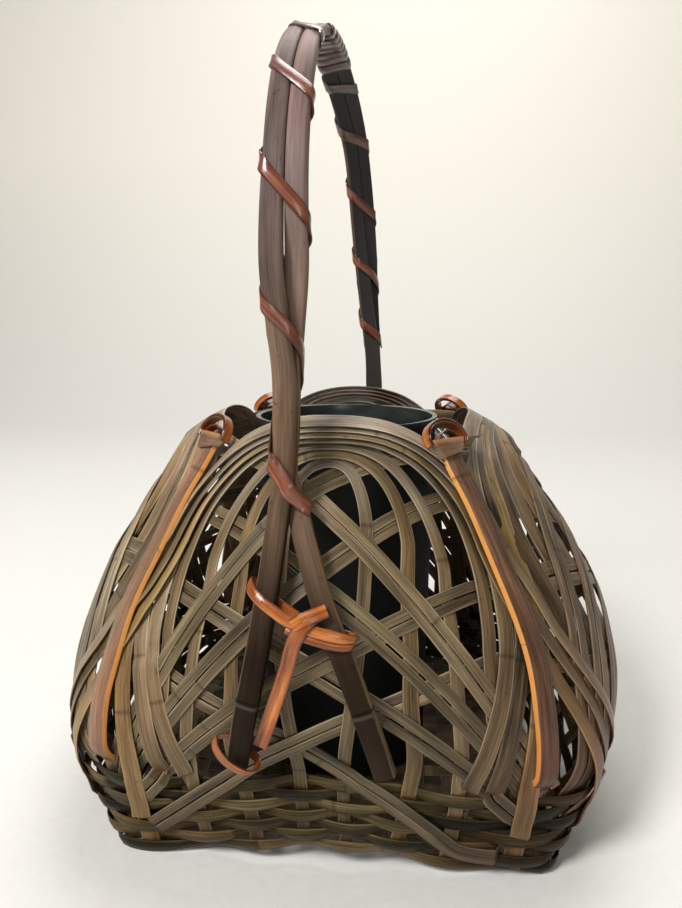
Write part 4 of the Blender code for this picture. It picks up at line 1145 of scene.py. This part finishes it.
def make_winding(halves):
    """The rattan winding, one unbroken strip from round the legs up round both halves."""
    start = []
    for hand, height, across, outward in LOWER_BAND[::-1]:
        centres, outs = (values[:130] for values in halves[hand])
        both = np.concatenate([centres, outs], -1)
        here = np.array([np.interp(height * MM, centres[:, 2], column) for column in both.T])
        middle, out = here[:3], unit(here[3:])
        aside = unit(np.cross(UP, out))
        steep = aside * (across / 6.4) ** 5 + out * math.copysign(min(abs(outward) / 3.9, 1.0) ** 5, outward)
        start.append(np.concatenate([middle + aside * across * MM + out * outward * MM, 0.004 * unit(steep)]))
    start = curve_points(start, 130)[:-1]
    route = np.concatenate([start, [winding_place(i / 760) for i in range(36, 761)]])
    centres, outs = route[:, :3], unit(route[:, 3:])
    for _ in range(9):
        centres[1:-1] = (centres[:-2] + 2 * centres[1:-1] + centres[2:]) / 4
        outs[1:-1] = unit(outs[:-2] + 2 * outs[1:-1] + outs[2:])
    piece = Build()
    section = flat_section(6.2 * MM, 1.05 * MM, crown=0.3 * MM, edge=0.3 * MM)
    sweep(piece, centres, outs, section, 0.5, scale=1.2 - 0.2 * smooth_step(100, 150, np.arange(len(centres))))
    piece.finish("winding_strip", "basket", "rattan", WINDING, ("handle_winding",))


# The ties: places on the wall in degrees, millimetres up and millimetres out from behind the legs
TIE = (
    (-3.0, 143.4, -0.9), (-8.0, 149.0, -0.6), (-12.4, 154.5, 0.6), (-13.0, 154.8, 3.4), (-11.9, 152.2, 6.6),
    (-9.9, 149.0, 7.9), (-7.0, 145.6, 7.6), (-4.4, 142.8, 7.4), (-2.0, 141.2, 7.8), (0.8, 139.6, 8.1),
    (3.2, 138.2, 8.1), (5.2, 137.0, 6.9), (6.4, 136.6, 3.4), (5.2, 137.6, -0.2), (1.5, 139.5, -1.0),
)
TIE_UNDER = (
    (-4.8, 139.6, 6.4), (-3.0, 138.4, 7.6), (0.4, 136.4, 8.1), (3.2, 135.0, 8.1), (5.3, 134.4, 6.6),
    (6.1, 134.8, 3.2), (5.0, 136.0, -0.2), (1.5, 138.0, -1.0),
)
STRAP = (
    (0.7, 146.8, 7.2), (-0.6, 144.8, 8.8), (-1.8, 141.6, 9.5), (-2.9, 137.2, 8.6), (-4.0, 131.4, 5.2),
    (-4.9, 125.2, 1.6), (-5.9, 118.2, 0.4), (-7.0, 110.7, 0.1), (-9.3, 96.5, 0.1), (-11.0, 87.0, 0.2),
)
FLAP = ((-3.4, 141.6, 9.7), (-2.0, 143.6, 10.4), (-0.4, 145.6, 10.0), (1.6, 147.6, 8.6))
FOOT_LOOP = (
    (-13.5, 84.0, -0.8), (-16.5, 89.5, -0.4), (-18.6, 90.4, 2.4), (-18.5, 88.0, 5.4), (-17.2, 84.0, 7.4),
    (-15.4, 80.6, 7.9), (-13.4, 78.6, 7.6), (-12.0, 78.4, 5.2), (-11.8, 79.6, 1.4), (-13.0, 81.0, -0.8),
)

# Each piece of a tie, and its bands: places, where its slope is taken in degrees and millimetres, the slope,
# width in millimetres, tint, stations, thickness and crown
TIES = (
    ("tie", (
        (TIE, -3.0, 143.0, -0.42, 5.2, 0.75, 110, 1.0, 0.4),
        (TIE_UNDER, 1.0, 136.0, -0.3, 3.4, 0.45, 70, 1.0, 0.3),
    )),
    ("strap", (
        (STRAP, -5.0, 118.0, 3.2, 7.0, 0.6, 70, 1.2, 0.35),
        (FLAP, -1.0, 144.0, 1.1, 6.2, 0.9, 24, 1.0, 0.2),
    )),
    ("foot_tie", ((FOOT_LOOP, -15.5, 82.0, -0.9, 4.4, 0.5, 70, 1.0, 0.3),)),
)


def wall_up(angle, height, slope):
    """Direction on the wall square to a band that drops with the given slope."""
    normal = wall_normal(np.array(angle), np.array(height))
    across = unit(np.cross(UP, normal))
    return np.cross(normal, unit(across + slope * np.cross(normal, across)))


def make_ties():
    """The tie where the legs cross, its strap and a loop at a leg's foot; on the back turned about."""
    behind = LEG_OFFSET - HALF_THICK / 2 - 0.4 * MM
    for side_name, turn in (("front", 0.0), ("back", math.pi)):
        for name, bands in TIES:
            piece = Build()
            for table, degrees, height, slope, width, tint, count, thick, crown in bands:
                places = np.array(table)
                points = wall_point(np.radians(places[:, 0]) + turn, places[:, 1] * MM, places[:, 2] * MM + behind)
                upward = wall_up(math.radians(degrees) + turn, height * MM, slope)
                hoop(piece, points, upward, width, tint, count, thick, crown)
            piece.finish(f"{side_name}_{name}", "basket", "rattan", ORANGE, (f"{side_name}_leg_tie",))


def make_liner():
    """The lacquered water liner with its thin rolled lip, turned from a profile of radii and heights."""
    profile = curve_points(
        [
            (0.4, 8.3), (30.0, 8.3), (46.0, 8.6), (48.2, 10.5), (48.6, 14.0), (50.5, 120.0), (52.2, 214.0),
            (52.6, 218.6), (53.2, 220.2), (54.4, 220.5), (55.6, 219.9), (55.7, 218.6), (55.0, 217.2), (54.6, 214.0),
            (53.0, 120.0), (51.2, 10.0), (50.4, 5.6), (48.0, 4.7), (30.0, 4.6), (0.4, 4.6),
        ],
        150,
    ) * MM
    turns = 112
    angle = np.arange(turns) / turns * 2 * math.pi
    radius, height = profile[:, :1], np.repeat(profile[:, 1:], turns, 1)
    piece = Build()
    grid = np.stack([radius * np.cos(angle), radius * np.sin(angle), height], -1)
    piece.add(grid, lengths(profile), np.zeros(turns), 0.5)
    piece.finish("liner_cup", "liner", "lacquer", LACQUER, ("water_liner",))


# Camera, light and floor


def make_floor():
    """The plain pale floor that sweeps up behind, lighter with height."""
    bend, far, high = 1.3, 2.2, 4.0
    radius = far - bend
    profile = [(-5.0, 0.0), (bend, 0.0)]
    profile += [(bend + radius * math.sin(t), radius * (1 - math.cos(t))) for t in np.linspace(0.08, QUARTER, 18)]
    profile += [(far, high)]
    mesh = bpy.data.meshes.new("floor")
    points = [(x, y, z) for y, z in profile for x in (-6.0, 6.0)]
    faces = [(2 * k, 2 * k + 1, 2 * k + 3, 2 * k + 2) for k in range(len(profile) - 1)]
    mesh.from_pydata(points, [], faces)
    mesh.shade_smooth()
    floor = bpy.data.objects.new("floor", mesh)
    bpy.context.scene.collection.objects.link(floor)
    n = Nodes("floor")
    whole, _, _, z = n.place()
    grain = n.noise(whole, 160.0, 3.0, 0.5)
    colour = n.ramp(grain, (0.3, 0.7), ((0.645, 0.63, 0.595), (0.67, 0.655, 0.62)))
    colour = n.mix(n.remap(z, 0.0, 0.9), colour, (0.93, 0.895, 0.80))
    mesh.materials.append(n.finish(colour, n.remap(grain, 0.0, 1.0, 0.75, 0.9), grain, 0.0002))


def make_world():
    """A soft light all round, and a pale background where the camera looks past the floor."""
    world = bpy.data.worlds.new("studio")
    bpy.context.scene.world = world
    world.use_nodes = True
    tree = world.node_tree
    light, seen = tree.nodes["Background"], tree.nodes.new("ShaderNodeBackground")
    light.inputs["Color"].default_value = (1.0, 0.97, 0.92, 1.0)
    light.inputs["Strength"].default_value = 0.22
    seen.inputs["Color"].default_value = (0.76, 0.74, 0.69, 1.0)
    seen.inputs["Strength"].default_value = 1.0
    choose = tree.nodes.new("ShaderNodeMixShader")
    path = tree.nodes.new("ShaderNodeLightPath")
    sources = (path.outputs["Is Camera Ray"], light.outputs[0], seen.outputs[0])
    for source, socket in zip(sources, choose.inputs):
        tree.links.new(source, socket)
    tree.links.new(choose.outputs[0], tree.nodes["World Output"].inputs["Surface"])


def make_stage():
    """The floor, the soft lights and the camera."""
    make_floor()
    make_world()
    for name, place, size, power in (
        ("key", (-1.0, -1.3, 1.7), 0.7, 54.0),
        ("front_fill", (0.4, -1.9, 0.8), 0.8, 6.0),
        ("backdrop", (0.2, 1.0, 2.6), 1.8, 46.0),
    ):
        data = bpy.data.lights.new(name, "AREA")
        data.shape = "DISK"
        data.size = size
        data.energy = power
        lamp = bpy.data.objects.new(name, data)
        lamp.location = place
        lamp.rotation_euler = (Vector((0.0, 0.0, 0.13)) - Vector(place)).to_track_quat("-Z", "Y").to_euler()
        bpy.context.scene.collection.objects.link(lamp)
    data = bpy.data.cameras.new("camera")
    data.lens = 36.0 * 690.0 / 908.0
    data.clip_start = 0.02
    camera = bpy.data.objects.new("camera", data)
    camera.location = (0.038, -0.423, 0.274)
    camera.rotation_euler = (math.radians(90 - 10.6), 0.0, math.radians(5.6))
    bpy.context.scene.collection.objects.link(camera)
    bpy.context.scene.camera = camera
    bpy.context.scene.view_settings.view_transform = "Standard"


routes = weave(make_routes())
make_arches(routes)
make_diagonals(routes)
make_rows()
make_heads(make_splats(routes))
make_base()
make_winding(make_handle())
make_ties()
make_liner()
make_stage()
